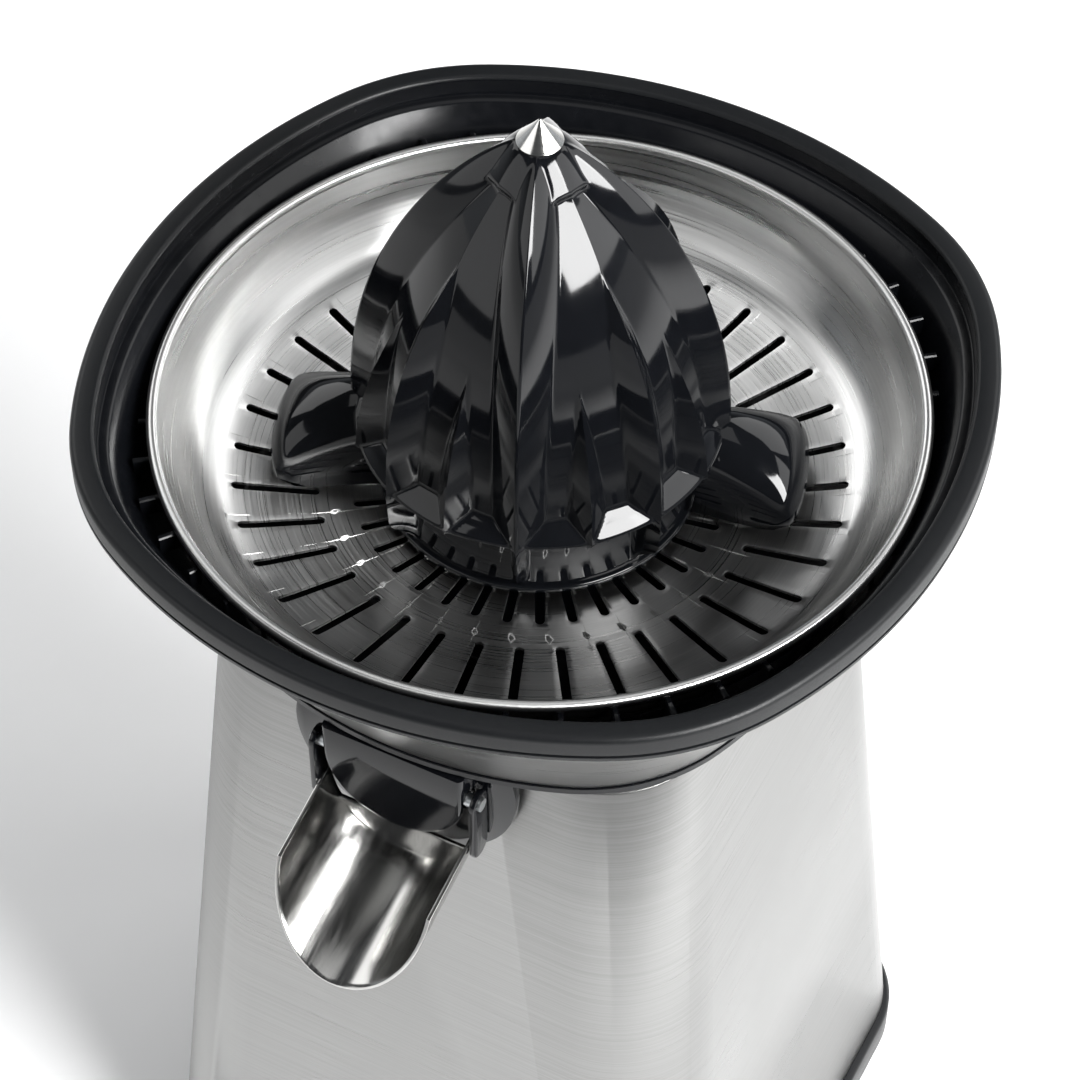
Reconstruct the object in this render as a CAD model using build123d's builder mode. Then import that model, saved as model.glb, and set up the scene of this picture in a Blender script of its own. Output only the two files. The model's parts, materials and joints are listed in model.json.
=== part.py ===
"""Electric citrus juicer with a lift-off bowl, strainer and fluted reamer.

Millimetres, +Z up. The spout is at the front, towards -Y. The origin is on the table,
under the axis of the drive spindle, about which the reamer turns.
"""

import os
from math import acos, atan2, cos, hypot, pi, radians, sin, sqrt, tan

from build123d import *

# Fits that several pieces share
cut_overrun = 2.0  # how far a cutting shape runs past the face it cuts
seat_gap = 0.2  # a lift-off piece above the face it stands on
slip_gap = 0.3  # two pieces that slide past or into each other
press_gap = 0.02  # a pressed-in piece beside the wall of its seat
running_gap = 0.06  # a turning or sliding shaft in its bore, on each side
edge_round = 1.2  # soft edges of the moulded pieces

# Heights, from the table upwards
foot_height = 3.0
plinth_height = 10.0
sleeve_height = 189.0
deck_edge_height = 2.6
skirt_height = 38.6
rim_height = 6.0

# Housing: a tapered sleeve of stainless sheet with a rounded square section
sleeve_foot_half = 68.0
sleeve_head_half = 52.2
sleeve_corner = 22.0
sleeve_wall = 1.0
plinth_flare = 1.6
plinth_floor = 3.5
spigot_wall = 2.0
spigot_height = 8.0
post_place = 38.0
post_radius = 5.0
tie_radius = 2.0
tie_head_radius = 3.6
tie_head_height = 2.4
tie_grip = 30.0
foot_radius = 8.0
foot_place = 49.0
foot_recess = 1.5
deck_plate = 4.6
gland_height = 30.0
gland_bore = 3.4
gland_neck = 5.0
gland_flange = 7.6
gland_flange_width = 2.5

# Bowl: a funnel with a soft rounded square outline, inside a stainless skirt
rim_flat = 85.3
rim_width = 4.8
corner_bulge = 4.3
corner_round_share = 0.62
rim_overhang = 4.5  # the rim's edge beyond the head of the skirt
skirt_foot_flat = 61.6
skirt_sheet = 0.8
trim_height = 1.6
trim_lip = 0.5
bowl_wall = 2.2
bowl_floor = 3.0
rim_shelf = 1.4
hub_wall = 2.2
hub_height = 21.0
drain_half = 9.0
drain_back = 34.0
drain_front = 50.0
fin_count = 48
fin_thick = 1.2
fin_height = 4.0
fin_tuck = 0.8  # how far the fins reach under the strainer's rim

# Strainer: a dish of stainless sheet with two rings of slots
strainer_clear = 5.5  # between the strainer's rim and the inside of the bowl's rim
strainer_sheet = 0.7
strainer_bead = 1.15
dish_wall_drop = 12.6
dish_wall_share = 0.91
dish_heel_drop = 19.0
dish_heel_share = 0.813
dish_mid_drop = 23.2
dish_mid_share = 0.55
dish_floor_drop = 24.5
dish_hole = 17.0
strainer_sink = 7.0  # the strainer's rim below the bowl's rim
slot_count = 36
slot_width = 1.9
long_slot_shares = (0.573, 0.8)  # inner and outer end, of the strainer's radius
short_slot_shares = (0.36, 0.49)
slot_turn = 2.25  # degrees

# Reamer: a fluted cone, its ribbed skirt and two pulp paddles
reamer_radius = 36.5
reamer_cone_height = 69.0
reamer_foot_drop = 21.3  # the foot of the reamer below the strainer's rim
reamer_skirt_height = 18.3
reamer_skirt_radius = 30.0
reamer_flange = 1.0
reamer_flange_height = 1.5
reamer_wall = 3.2
reamer_turn = 20.25  # degrees
socket_radius = 9.0
socket_lift = 4.7  # the socket's mouth above the reamer's foot
socket_depth = 32.0
hollow_height = 60.0
hollow_shoulder = 36.0
hollow_head_radius = 20.0
tip_radius = 4.3
tip_height = 5.0
tip_stem_radius = 2.0
tip_stem_length = 8.0
paddle_reach_share = 0.693  # of the strainer's radius
paddle_half_angle = 13.0  # degrees
paddle_top_drop = 5.0
paddle_brow_drop = 7.6
paddle_brow_share = 0.6
paddle_heel_gap = 0.6
paddle_bevel = 1.6

# Shape of the cone from its shoulder up: height and ridge radius, then how far the
# ribs of the second and third rank stand out, and the depth of the flutes
cone_height_shares = (0.0, 0.18, 0.35, 0.47, 0.58, 0.68, 0.78, 0.88, 0.945, 1.0)
cone_radius_shares = (1.0, 1.0, 0.965, 0.915, 0.84, 0.745, 0.625, 0.465, 0.31, 0.118)
second_rib_shares = (1.0, 1.0, 1.0, 1.0, 0.95, 0.75, 0.35, 0.0, 0.0, 0.0)
third_rib_shares = (0.95, 0.8, 0.45, 0.12, 0.0, 0.0, 0.0, 0.0, 0.0, 0.0)
flute_depth_shares = (0.125, 0.12, 0.12, 0.125, 0.14, 0.165, 0.19, 0.21, 0.2, 0.02)

# Ribs that run on down the skirt: height and how far they stand out
skirt_height_shares = (0.0, 0.15, 0.55, 1.0)
skirt_rib_shares = (0.0, 0.12, 0.94, 1.0)

# Spout: a nozzle with a round flange, and a half-pipe gutter that tilts on two pivots
nozzle_drop = 7.3  # centre of the nozzle below the bowl
nozzle_radius = 15.2
nozzle_wall = 2.0
nozzle_back = 31.0
flange_radius = 21.5
flange_width = 1.6
flange_gap = 0.4
notch_gap = 1.4
trough_wall = 1.6
gasket_width = 0.8
lip_slot = 3.0
lip_slot_half = 8.5
gutter_radius = 15.9
gutter_sheet = 0.8
gutter_slope = 15.0  # degrees
gutter_length = 34.0
gutter_tongue = 14.8
gutter_drop = 10.6  # the gutter's upper edges below the pivots
gutter_root_gap = 1.2
gutter_back_drop = 3.0  # the top of the gutter's back wall below the nozzle
pivot_radius = 1.4
pivot_land = 1.0
pivot_end = 0.5
cheek_thick = 1.3
cheek_radius = 2.8
cheek_tail = 13.0

# Motor: a permanent-magnet can motor hung under a steel plate
plate_thick = 2.5
plate_half = 46.0
plate_corner = 8.0
can_radius = 26.0
can_height = 56.0
can_wall = 1.6
can_nose_radius = 7.8
can_nose_depth = 6.0
cap_height = 4.0
cap_spigot = 4.0
cap_hub_radius = 7.5
bearing_radius = 5.0
bearing_length = 6.0
magnet_thick = 3.4
magnet_height = 32.0
magnet_angle = 140.0  # degrees
magnet_lift = 16.0
air_gap = 0.8
core_lift = 20.0
core_height = 24.0
core_slot_count = 10
core_slot_width = 2.4
core_slot_depth = 8.0
winding_height = 5.0
winding_inner = 8.6
winding_outer = 17.5
commutator_radius = 6.0
commutator_height = 7.0
commutator_lift = 5.5
brush_length = 9.0
brush_width = 4.0
brush_height = 5.0
holder_near = 8.0
holder_wall = 1.5
shaft_radius = 2.5
shaft_end = 0.5
motor_screw_place = 17.0
motor_screw_radius = 1.5
motor_screw_head = 2.8
motor_screw_head_height = 1.6

# Gear train: two equal stages that bring the drive back to the spindle axis
gear_module = 1.0
pinion_teeth = 15
wheel_teeth = 45
tooth_backlash = 0.12
tooth_addendum_share = 0.9
tooth_dedendum_share = 1.2
pressure_angle = 20.0  # degrees
wheel_face = 6.0
pinion_face = 8.0
upper_pinion_face = 13.0
output_face = 8.0
wheel_float = 3.0
stage_gap = 3.0
output_hub_radius = 9.0
output_journal = 7.0
output_clip_radius = 8.8
axle_radius = 2.5
cluster_boss = 4.6
cover_thick = 3.0
cover_half = 31.0
cover_front = 18.0
cover_back = 48.0
cover_corner = 6.0
cover_boss_radius = 9.0
cover_boss_height = 3.0
spacer_radius = 3.5
spacer_side = 27.0
spacer_front = 14.0
spacer_back = 43.0
small_screw_radius = 1.5
small_screw_head = 2.9
small_screw_head_height = 1.8

# Press-to-start drive: pushing the reamer down moves the spindle and closes the switch
press_travel = 2.0
spindle_radius = 5.0
spindle_hex = 8.0
spindle_shoulder_radius = 8.5
spindle_shoulder_height = 3.0
bush_radius = 6.6
bush_length = 12.0
seal_radius = 7.4
seal_height = 2.5
tower_radius = 9.3
tower_height = 17.0
tower_flange = 14.0
tower_flange_width = 2.5
deck_post_length = 81.5
spring_room = 13.0  # between the gearbox cover and the press collar
collar_radius = 12.0
collar_height = 4.0
collar_arm_end = 0.3  # the arm past the plunger
collar_arm_width = 6.0
collar_arm_height = 3.0
clip_radius = 7.4
clip_thick = 1.2
clip_gap = 0.2
spring_coils = 4
spring_wire = 1.4
switch_near = 14.5
switch_length = 15.0
switch_width = 6.5
switch_height = 9.5
plunger_place = 21.0
plunger_radius = 1.5
plunger_length = 6.0
switch_screw_place = 26.0

# Levels that follow from the sizes above
plinth_top = foot_height + plinth_height
sleeve_top = plinth_top + sleeve_height
deck_top = sleeve_top + deck_edge_height
bowl_bottom = deck_top + seat_gap
trim_top = bowl_bottom + trim_height
skirt_top = trim_top + skirt_height
rim_bottom = skirt_top + press_gap
rim_top = rim_bottom + rim_height
strainer_rim = rim_top - strainer_sink
bowl_inside = bowl_bottom + bowl_floor
dish_floor = strainer_rim - dish_floor_drop
reamer_foot = strainer_rim - reamer_foot_drop
reamer_shoulder = reamer_foot + reamer_skirt_height
reamer_crown = reamer_shoulder + reamer_cone_height
nozzle_top = bowl_bottom - gasket_width
nozzle_centre = nozzle_top - nozzle_drop
deck_under = sleeve_top - (deck_plate - deck_edge_height)
plate_top = deck_under - deck_post_length
plate_level = plate_top - plate_thick
wheel_level = plate_top + wheel_float
upper_level = wheel_level + wheel_face
output_level = upper_level + stage_gap
cover_level = wheel_level + wheel_face + upper_pinion_face + wheel_float
cover_top = cover_level + cover_thick
gear_centres = gear_module * (pinion_teeth + wheel_teeth) / 2
collar_bottom = cover_top + spring_room
collar_top = collar_bottom + collar_height
shoulder_top = collar_top + clip_gap + spindle_shoulder_height
tower_foot = shoulder_top + slip_gap
boss_top = cover_top + cover_boss_height
output_top = boss_top + 2 * clip_gap + clip_thick
spindle_foot = output_level + press_travel + slip_gap
journal_level = output_top + press_travel + slip_gap
socket_mouth = reamer_foot + socket_lift
spindle_head = socket_mouth + socket_depth - seat_gap
upper_hex_level = socket_mouth - press_travel
skirt_head_flat = rim_flat - rim_overhang
funnel_lean = (skirt_head_flat - skirt_foot_flat) / (skirt_top - trim_top)
strainer_radius = rim_flat - rim_width - strainer_clear
nozzle_bore = nozzle_radius - nozzle_wall
trough_radius = nozzle_radius + notch_gap


def sleeve_half(height):
    """Half width of the steel sleeve at a height above the table."""
    share = (height - plinth_top) / sleeve_height
    return sleeve_foot_half + share * (sleeve_head_half - sleeve_foot_half)


# The flange hugs the sloping front of the sleeve, and the pivots stand just before it
flange_back = sleeve_half(nozzle_centre - flange_radius) + flange_gap
flange_front = flange_back + flange_width
pivot_front = flange_front + slip_gap + cheek_radius
nozzle_front = pivot_front + pivot_radius + pivot_land


def funnel_flat(height, inset):
    """Distance from the axis to the middle of the funnel's side, a given depth inside the skirt."""
    return skirt_foot_flat + (height - trim_top) * funnel_lean - inset * hypot(1, funnel_lean)


def square_outline(half, corner):
    """Rounded square face, drawn in the sketch that is open."""
    RectangleRounded(2 * half, 2 * half, corner)


def soft_outline(flat):
    """Soft square face of eight tangent arcs: bowed sides, round corners that stand out further."""
    corner = flat + corner_bulge
    corner_radius = corner_round_share * flat
    centre = (corner - corner_radius) / sqrt(2)
    side = flat - corner_radius
    bow = (2 * centre**2 - side**2) / (2 * (side - centre))
    turn = atan2(centre, centre + bow)
    along = (flat + bow) * cos(turn) - bow
    across = (flat + bow) * sin(turn)
    tip = corner / sqrt(2)
    with BuildLine() as outline:
        for quarter in range(4):
            turned = Plane.XY.rotated((0, 0, 90 * quarter))
            points = [(along, -across), (flat, 0), (along, across), (tip, tip), (across, along)]
            low, middle, high, outer, last = [turned.from_local_coords((x, y, 0)) for x, y in points]
            ThreePointArc(low, middle, high)
            ThreePointArc(high, outer, last)
    make_face(outline.edges())


def round_notch(radius, top):
    """U-shaped face in a front view, round below and straight above, drawn in the open sketch."""
    with BuildLine() as outline:
        left, right = (-radius, nozzle_centre), (radius, nozzle_centre)
        ThreePointArc(left, (0, nozzle_centre - radius), right)
        Polyline(right, (radius, top), (-radius, top), left)
    make_face(outline.edges())


def ring_sector(inner, outer, half_turn):
    """Part of a ring about the axis, its half angle in radians, drawn in the sketch that is open."""
    near, aside = cos(half_turn), sin(half_turn)
    with BuildLine() as outline:
        ThreePointArc((outer * near, -outer * aside), (outer, 0), (outer * near, outer * aside))
        Line((outer * near, outer * aside), (inner * near, inner * aside))
        ThreePointArc((inner * near, inner * aside), (inner, 0), (inner * near, -inner * aside))
        Line((inner * near, -inner * aside), (outer * near, -outer * aside))
    make_face(outline.edges())


def tooth_half_angle(teeth, radius):
    """Half the angle that an involute tooth covers at a radius, in radians."""
    pitch_radius = gear_module * teeth / 2
    base_radius = pitch_radius * cos(radians(pressure_angle))
    half_thickness = (pi * gear_module / 2 - tooth_backlash) / 2
    roll = acos(min(1, base_radius / radius))
    pitch_roll = radians(pressure_angle)
    return half_thickness / pitch_radius + tan(pitch_roll) - pitch_roll - tan(roll) + roll


def gear_outline(teeth, first_tooth):
    """Spur gear face with a tooth centred on the given angle, drawn in the sketch that is open."""
    pitch_radius = gear_module * teeth / 2
    base_radius = pitch_radius * cos(radians(pressure_angle))
    root_radius = pitch_radius - tooth_dedendum_share * gear_module
    tip_radius_here = pitch_radius + tooth_addendum_share * gear_module
    half_angles = [
        (root_radius, tooth_half_angle(teeth, max(base_radius, root_radius))),
        (pitch_radius, tooth_half_angle(teeth, pitch_radius)),
        (tip_radius_here, tooth_half_angle(teeth, tip_radius_here)),
    ]
    points = []
    for tooth in range(teeth):
        middle = radians(first_tooth) + 2 * pi * tooth / teeth
        rising = [(radius, middle - half) for radius, half in half_angles]
        falling = [(radius, middle + half) for radius, half in reversed(half_angles)]
        points += [(radius * cos(angle), radius * sin(angle)) for radius, angle in rising + falling]
    with BuildLine() as outline:
        Polyline(*points, close=True)
    make_face(outline.edges())


def rib_star(ridge, core, second, third):
    """Reamer section with a point on each ridge and in each flute, drawn in the sketch that is open."""
    ranks = (1, third, second, third)
    points = []
    for step in range(32):
        angle = radians(reamer_turn + 360 * step / 32)
        rise = ranks[step // 2 % 4] if step % 2 == 0 else 0
        radius = core + rise * (ridge - core)
        points.append((radius * cos(angle), radius * sin(angle)))
    with BuildLine() as outline:
        Polyline(*points, close=True)
    make_face(outline.edges())


# Steel sleeve of the housing
with BuildPart() as housing_sleeve:
    for inset in (0, sleeve_wall):
        with BuildSketch(Plane.XY.offset(plinth_top)):
            square_outline(sleeve_foot_half - inset, sleeve_corner - inset)
        with BuildSketch(Plane.XY.offset(sleeve_top)):
            square_outline(sleeve_head_half - inset, sleeve_corner - inset)
        loft(mode=Mode.ADD if inset == 0 else Mode.SUBTRACT)
    with BuildSketch(Plane.XZ.offset(nozzle_back)):
        round_notch(trough_radius, sleeve_top + cut_overrun)
    extrude(amount=sleeve_foot_half, mode=Mode.SUBTRACT)
    with BuildSketch(Plane.XZ.offset(-nozzle_back)):
        with Locations((0, gland_height)):
            Circle(gland_neck + slip_gap)
    extrude(amount=-sleeve_foot_half, mode=Mode.SUBTRACT)

# Moulded plinth with the posts that carry the motor plate
plinth_half = sleeve_foot_half + plinth_flare
spigot_half = sleeve_half(plinth_top + spigot_height) - sleeve_wall - slip_gap
spigot_corner = sleeve_corner - sleeve_wall - slip_gap
floor_top = foot_height + plinth_floor
with BuildPart() as base_plinth:
    with BuildSketch(Plane.XY.offset(foot_height)):
        square_outline(plinth_half, sleeve_corner + plinth_flare)
    extrude(amount=plinth_height)
    chamfer(base_plinth.faces().sort_by(Axis.Z)[-1].outer_wire().edges(), length=edge_round)
    with BuildSketch(Plane.XY.offset(plinth_top)):
        square_outline(spigot_half, spigot_corner)
    extrude(amount=spigot_height)
    with BuildSketch(Plane.XY.offset(floor_top)):
        square_outline(spigot_half - spigot_wall, spigot_corner - spigot_wall)
    extrude(amount=plinth_height + spigot_height, mode=Mode.SUBTRACT)
    with BuildSketch(Plane.XY.offset(floor_top)):
        with GridLocations(2 * post_place, 2 * post_place, 2, 2):
            Circle(post_radius)
    extrude(amount=plate_level - floor_top)
    with BuildSketch(Plane.XY.offset(foot_height)):
        with GridLocations(2 * post_place, 2 * post_place, 2, 2):
            Circle(tie_radius + slip_gap)
    extrude(amount=plate_level, mode=Mode.SUBTRACT)
    with BuildSketch(Plane.XY.offset(foot_height)):
        with GridLocations(2 * post_place, 2 * post_place, 2, 2):
            Circle(tie_head_radius + slip_gap)
    extrude(amount=tie_head_height, mode=Mode.SUBTRACT)
    with BuildSketch(Plane.XY.offset(foot_height)):
        with GridLocations(2 * foot_place, 2 * foot_place, 2, 2):
            Circle(foot_radius + press_gap)
    extrude(amount=foot_recess, mode=Mode.SUBTRACT)

with BuildPart() as rubber_feet:
    with BuildSketch():
        with GridLocations(2 * foot_place, 2 * foot_place, 2, 2):
            Circle(foot_radius)
    extrude(amount=foot_height + foot_recess)
    chamfer(rubber_feet.edges().group_by(Axis.Z)[0], length=edge_round)

# Long screws from under the plinth, through the motor plate, into the deck's posts
with BuildPart() as tie_screws:
    with BuildSketch(Plane.XY.offset(foot_height)):
        with GridLocations(2 * post_place, 2 * post_place, 2, 2):
            Circle(tie_head_radius)
    extrude(amount=tie_head_height)
    with BuildSketch(Plane.XY.offset(foot_height)):
        with GridLocations(2 * post_place, 2 * post_place, 2, 2):
            Circle(tie_radius)
    extrude(amount=plate_top + tie_grip - foot_height)

# Moulded deck: plate, trough for the nozzle and screw posts
deck_spigot_half = sleeve_head_half - sleeve_wall - slip_gap
with BuildPart() as top_deck:
    with BuildSketch(Plane.XY.offset(sleeve_top + press_gap)):
        square_outline(sleeve_head_half, sleeve_corner)
    extrude(amount=deck_edge_height - press_gap)
    with BuildSketch(Plane.XY.offset(sleeve_top - spigot_height)):
        square_outline(deck_spigot_half, spigot_corner)
    extrude(amount=spigot_height + deck_edge_height)
    with BuildSketch(Plane.XY.offset(sleeve_top - spigot_height)):
        square_outline(deck_spigot_half - spigot_wall, spigot_corner - spigot_wall)
    extrude(amount=spigot_height + deck_edge_height - deck_plate, mode=Mode.SUBTRACT)
    with BuildSketch(Plane.XZ.offset(nozzle_back - notch_gap - trough_wall)):
        round_notch(trough_radius + trough_wall, deck_top)
    extrude(amount=deck_spigot_half - nozzle_back + notch_gap + trough_wall)
    with BuildSketch(Plane.XZ.offset(nozzle_back - notch_gap)):
        round_notch(trough_radius, deck_top + cut_overrun)
    extrude(amount=sleeve_foot_half, mode=Mode.SUBTRACT)
    with BuildSketch(Plane.XY.offset(deck_top)):
        Circle(tower_radius + press_gap)
    extrude(amount=-2 * deck_plate, mode=Mode.SUBTRACT)
    with BuildSketch(Plane.XY.offset(plate_top)):
        with GridLocations(2 * post_place, 2 * post_place, 2, 2):
            Circle(post_radius)
    extrude(amount=deck_under - plate_top + edge_round)
    with BuildSketch(Plane.XY.offset(plate_top)):
        with GridLocations(2 * post_place, 2 * post_place, 2, 2):
            Circle(tie_radius + press_gap)
    extrude(amount=tie_grip + cut_overrun, mode=Mode.SUBTRACT)

# Tower for the spindle: a tube pressed up through the deck, with a flange under it
tower_top = deck_top + tower_height
bush_level = tower_top - seal_height - bush_length
with BuildPart() as spindle_tower:
    with BuildSketch(Plane.XY.offset(tower_foot)):
        Circle(tower_radius)
    extrude(amount=tower_top - tower_foot)
    with BuildSketch(Plane.XY.offset(deck_under - press_gap)):
        Circle(tower_flange)
    extrude(amount=-tower_flange_width)
    with BuildSketch(Plane.XY.offset(tower_foot)):
        Circle(spindle_radius + slip_gap)
    extrude(amount=tower_top - tower_foot, mode=Mode.SUBTRACT)
    with BuildSketch(Plane.XY.offset(bush_level)):
        Circle(bush_radius + press_gap)
    extrude(amount=bush_length + seal_height, mode=Mode.SUBTRACT)
    with BuildSketch(Plane.XY.offset(bush_level + bush_length)):
        Circle(seal_radius + press_gap)
    extrude(amount=seal_height, mode=Mode.SUBTRACT)

with BuildPart() as spindle_bush:
    with BuildSketch(Plane.XY.offset(bush_level)):
        Circle(bush_radius)
        Circle(spindle_radius + running_gap, mode=Mode.SUBTRACT)
    extrude(amount=bush_length)

with BuildPart() as spindle_seal:
    with BuildSketch(Plane.XY.offset(bush_level + bush_length)):
        Circle(seal_radius)
        Circle(spindle_radius + running_gap, mode=Mode.SUBTRACT)
    extrude(amount=seal_height)

# Bush for the mains lead in the back of the sleeve
gland_outer = sleeve_half(gland_height - gland_flange) + slip_gap
gland_inner = sleeve_half(gland_height + gland_flange) - sleeve_wall - slip_gap
with BuildPart() as cord_gland:
    with BuildSketch(Plane.XZ.offset(-gland_inner)):
        with Locations((0, gland_height)):
            Circle(gland_neck)
    extrude(amount=gland_inner - gland_outer)
    for level, width in ((gland_outer, gland_flange_width), (gland_inner, -gland_flange_width)):
        with BuildSketch(Plane.XZ.offset(-level)):
            with Locations((0, gland_height)):
                Circle(gland_flange)
        extrude(amount=-width)
    chamfer(cord_gland.edges().group_by(Axis.Y)[-1], length=edge_round)
    with BuildSketch(Plane.XZ.offset(-gland_inner + gland_flange_width + cut_overrun)):
        with Locations((0, gland_height)):
            Circle(gland_bore)
    extrude(amount=-sleeve_foot_half, mode=Mode.SUBTRACT)

# Bowl: funnel, floor, rim, spindle hub and fins under the strainer's rim
bowl_inset = skirt_sheet + press_gap
hub_inner = tower_radius + slip_gap
shelf_level = rim_bottom + rim_shelf
with BuildPart() as juice_bowl:
    with BuildSketch(Plane.XY.offset(trim_top)):
        soft_outline(funnel_flat(trim_top, bowl_inset))
    with BuildSketch(Plane.XY.offset(shelf_level)):
        soft_outline(funnel_flat(shelf_level, bowl_inset))
    loft()
    with BuildSketch(Plane.XY.offset(bowl_bottom)):
        soft_outline(skirt_foot_flat + trim_lip)
    extrude(amount=trim_height)
    with BuildSketch(Plane.XY.offset(rim_bottom)):
        soft_outline(rim_flat)
    extrude(amount=rim_height)
    rim_edges = juice_bowl.faces().sort_by(Axis.Z)[-1].outer_wire().edges()
    fillet(rim_edges, radius=edge_round)
    with BuildSketch(Plane.XY.offset(bowl_inside)):
        soft_outline(funnel_flat(bowl_inside, bowl_inset + bowl_wall))
    with BuildSketch(Plane.XY.offset(shelf_level)):
        soft_outline(funnel_flat(shelf_level, bowl_inset + bowl_wall))
    loft(mode=Mode.SUBTRACT)
    with BuildSketch(Plane.XY.offset(shelf_level)):
        soft_outline(rim_flat - rim_width)
    extrude(amount=rim_height, mode=Mode.SUBTRACT)
    fin_top = strainer_rim - 2 * strainer_bead - seat_gap
    fin_inner = strainer_radius - fin_tuck
    fin_length = funnel_flat(fin_top, bowl_inset + bowl_wall) + corner_bulge - fin_inner
    with BuildSketch(mode=Mode.PRIVATE) as wall_outline:
        soft_outline(funnel_flat(fin_top - fin_height, bowl_inset + slip_gap))
    with BuildSketch(Plane.XY.offset(fin_top)):
        with PolarLocations(fin_inner + fin_length / 2, fin_count):
            Rectangle(fin_length, fin_thick)
        add(wall_outline.sketch, mode=Mode.INTERSECT)
    extrude(amount=-fin_height)
    with BuildSketch(Plane.XY.offset(bowl_bottom)):
        Circle(hub_inner + hub_wall)
    extrude(amount=hub_height)
    with BuildSketch(Plane.XY.offset(bowl_bottom)):
        Circle(hub_inner)
        with Locations((0, -(drain_back + drain_front) / 2)):
            Rectangle(2 * drain_half, drain_front - drain_back)
    extrude(amount=hub_height, mode=Mode.SUBTRACT)

with BuildPart() as bowl_skirt:
    for inset in (0, skirt_sheet):
        with BuildSketch(Plane.XY.offset(trim_top + press_gap)):
            soft_outline(funnel_flat(trim_top + press_gap, inset))
        with BuildSketch(Plane.XY.offset(skirt_top)):
            soft_outline(funnel_flat(skirt_top, inset))
        loft(mode=Mode.ADD if inset == 0 else Mode.SUBTRACT)

# Nozzle under the drain: a U-shaped channel with a round flange and an outlet slot
with BuildPart() as outlet_nozzle:
    with BuildSketch(Plane.XZ.offset(nozzle_back)):
        round_notch(nozzle_radius, nozzle_top)
    extrude(amount=nozzle_front - nozzle_back)
    fillet(outlet_nozzle.edges().group_by(Axis.Y)[0].filter_by(GeomType.CIRCLE), radius=edge_round)
    with BuildSketch(Plane.XZ.offset(flange_back)):
        with Locations((0, nozzle_centre)):
            Circle(flange_radius)
    extrude(amount=flange_width)
    with BuildSketch(Plane.XY.offset(nozzle_top)):
        with Locations((0, -flange_back)):
            Rectangle(2 * flange_radius, 2 * flange_back)
    extrude(amount=2 * flange_radius, mode=Mode.SUBTRACT)
    with BuildSketch(Plane.XZ.offset(nozzle_back + nozzle_wall)):
        round_notch(nozzle_bore, nozzle_top + cut_overrun)
    extrude(amount=nozzle_front - nozzle_back - 2 * nozzle_wall, mode=Mode.SUBTRACT)
    with BuildSketch(Plane.XY.offset(nozzle_centre - nozzle_radius)):
        with Locations((0, -nozzle_front + nozzle_wall)):
            Rectangle(2 * lip_slot_half, lip_slot, align=(Align.CENTER, Align.MIN))
    extrude(amount=nozzle_radius, mode=Mode.SUBTRACT)
    with BuildSketch(Plane.YZ):
        with Locations((-pivot_front, nozzle_centre)):
            Circle(pivot_radius + press_gap)
    extrude(amount=nozzle_radius + cut_overrun, both=True, mode=Mode.SUBTRACT)

with BuildPart() as nozzle_gasket:
    with BuildSketch(Plane.XY.offset(nozzle_top)):
        with Locations((0, -(nozzle_back + flange_back - flange_gap) / 2)):
            Rectangle(2 * nozzle_bore + nozzle_wall, flange_back - flange_gap - nozzle_back)
        with Locations((0, -(drain_back + drain_front) / 2)):
            Rectangle(2 * drain_half, drain_front - drain_back, mode=Mode.SUBTRACT)
    extrude(amount=gasket_width)

# Spout: half-pipe gutter with a low back wall and a round tongue, hung from two cheeks on the pivots
gutter_outer = gutter_radius + gutter_sheet
gutter_along = Vector(0, -cos(radians(gutter_slope)), -sin(radians(gutter_slope)))
gutter_start = Vector(0, -pivot_front, nozzle_centre - gutter_drop)
gutter_section = Plane(gutter_start, x_dir=(1, 0, 0), z_dir=gutter_along)
gutter_lid = Plane(gutter_start, x_dir=(1, 0, 0), z_dir=gutter_section.y_dir)
gutter_run = gutter_length - gutter_tongue
gutter_back_run = pivot_front - flange_front - gutter_root_gap
gutter_back_centre = gutter_start.Z + gutter_back_run * tan(radians(gutter_slope))
with BuildPart() as spout_gutter:
    with BuildSketch(gutter_section.offset(-cheek_radius - gutter_root_gap)):
        Circle(gutter_outer)
        Circle(gutter_radius, mode=Mode.SUBTRACT)
        with Locations((0, gutter_outer)):
            Rectangle(2 * gutter_outer, 2 * gutter_outer, mode=Mode.SUBTRACT)
    extrude(amount=gutter_length + 2 * cheek_radius)
    with BuildSketch(gutter_lid):
        with Locations((0, -gutter_run)):
            Ellipse(gutter_outer, gutter_tongue)
        with Locations((0, -gutter_run)):
            Rectangle(2 * gutter_outer, 2 * gutter_length, align=(Align.CENTER, Align.MIN))
    extrude(amount=2 * gutter_outer, both=True, mode=Mode.INTERSECT)
    with BuildSketch(Plane.XZ.offset(flange_front + gutter_root_gap)):
        with Locations((0, nozzle_centre)):
            Rectangle(4 * gutter_outer, 8 * gutter_outer)
    extrude(amount=-4 * gutter_outer, mode=Mode.SUBTRACT)
    with BuildSketch(Plane.XZ.offset(flange_front + gutter_root_gap)):
        with Locations((0, gutter_back_centre)):
            Ellipse(gutter_outer, gutter_outer / cos(radians(gutter_slope)))
        with Locations((0, nozzle_centre - nozzle_radius - gutter_back_drop)):
            Rectangle(4 * gutter_outer, 4 * gutter_outer, align=(Align.CENTER, Align.MIN), mode=Mode.SUBTRACT)
    extrude(amount=gutter_sheet)

with BuildPart() as spout_cheeks:
    for side in (1, -1):
        with BuildSketch(Plane.YZ.offset(side * (gutter_outer + press_gap))):
            with Locations((-pivot_front, nozzle_centre - cheek_tail / 2)):
                SlotCenterToCenter(cheek_tail, 2 * cheek_radius, rotation=90)
            with Locations((-pivot_front, nozzle_centre)):
                Circle(pivot_radius + running_gap, mode=Mode.SUBTRACT)
        extrude(amount=side * cheek_thick)

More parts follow.
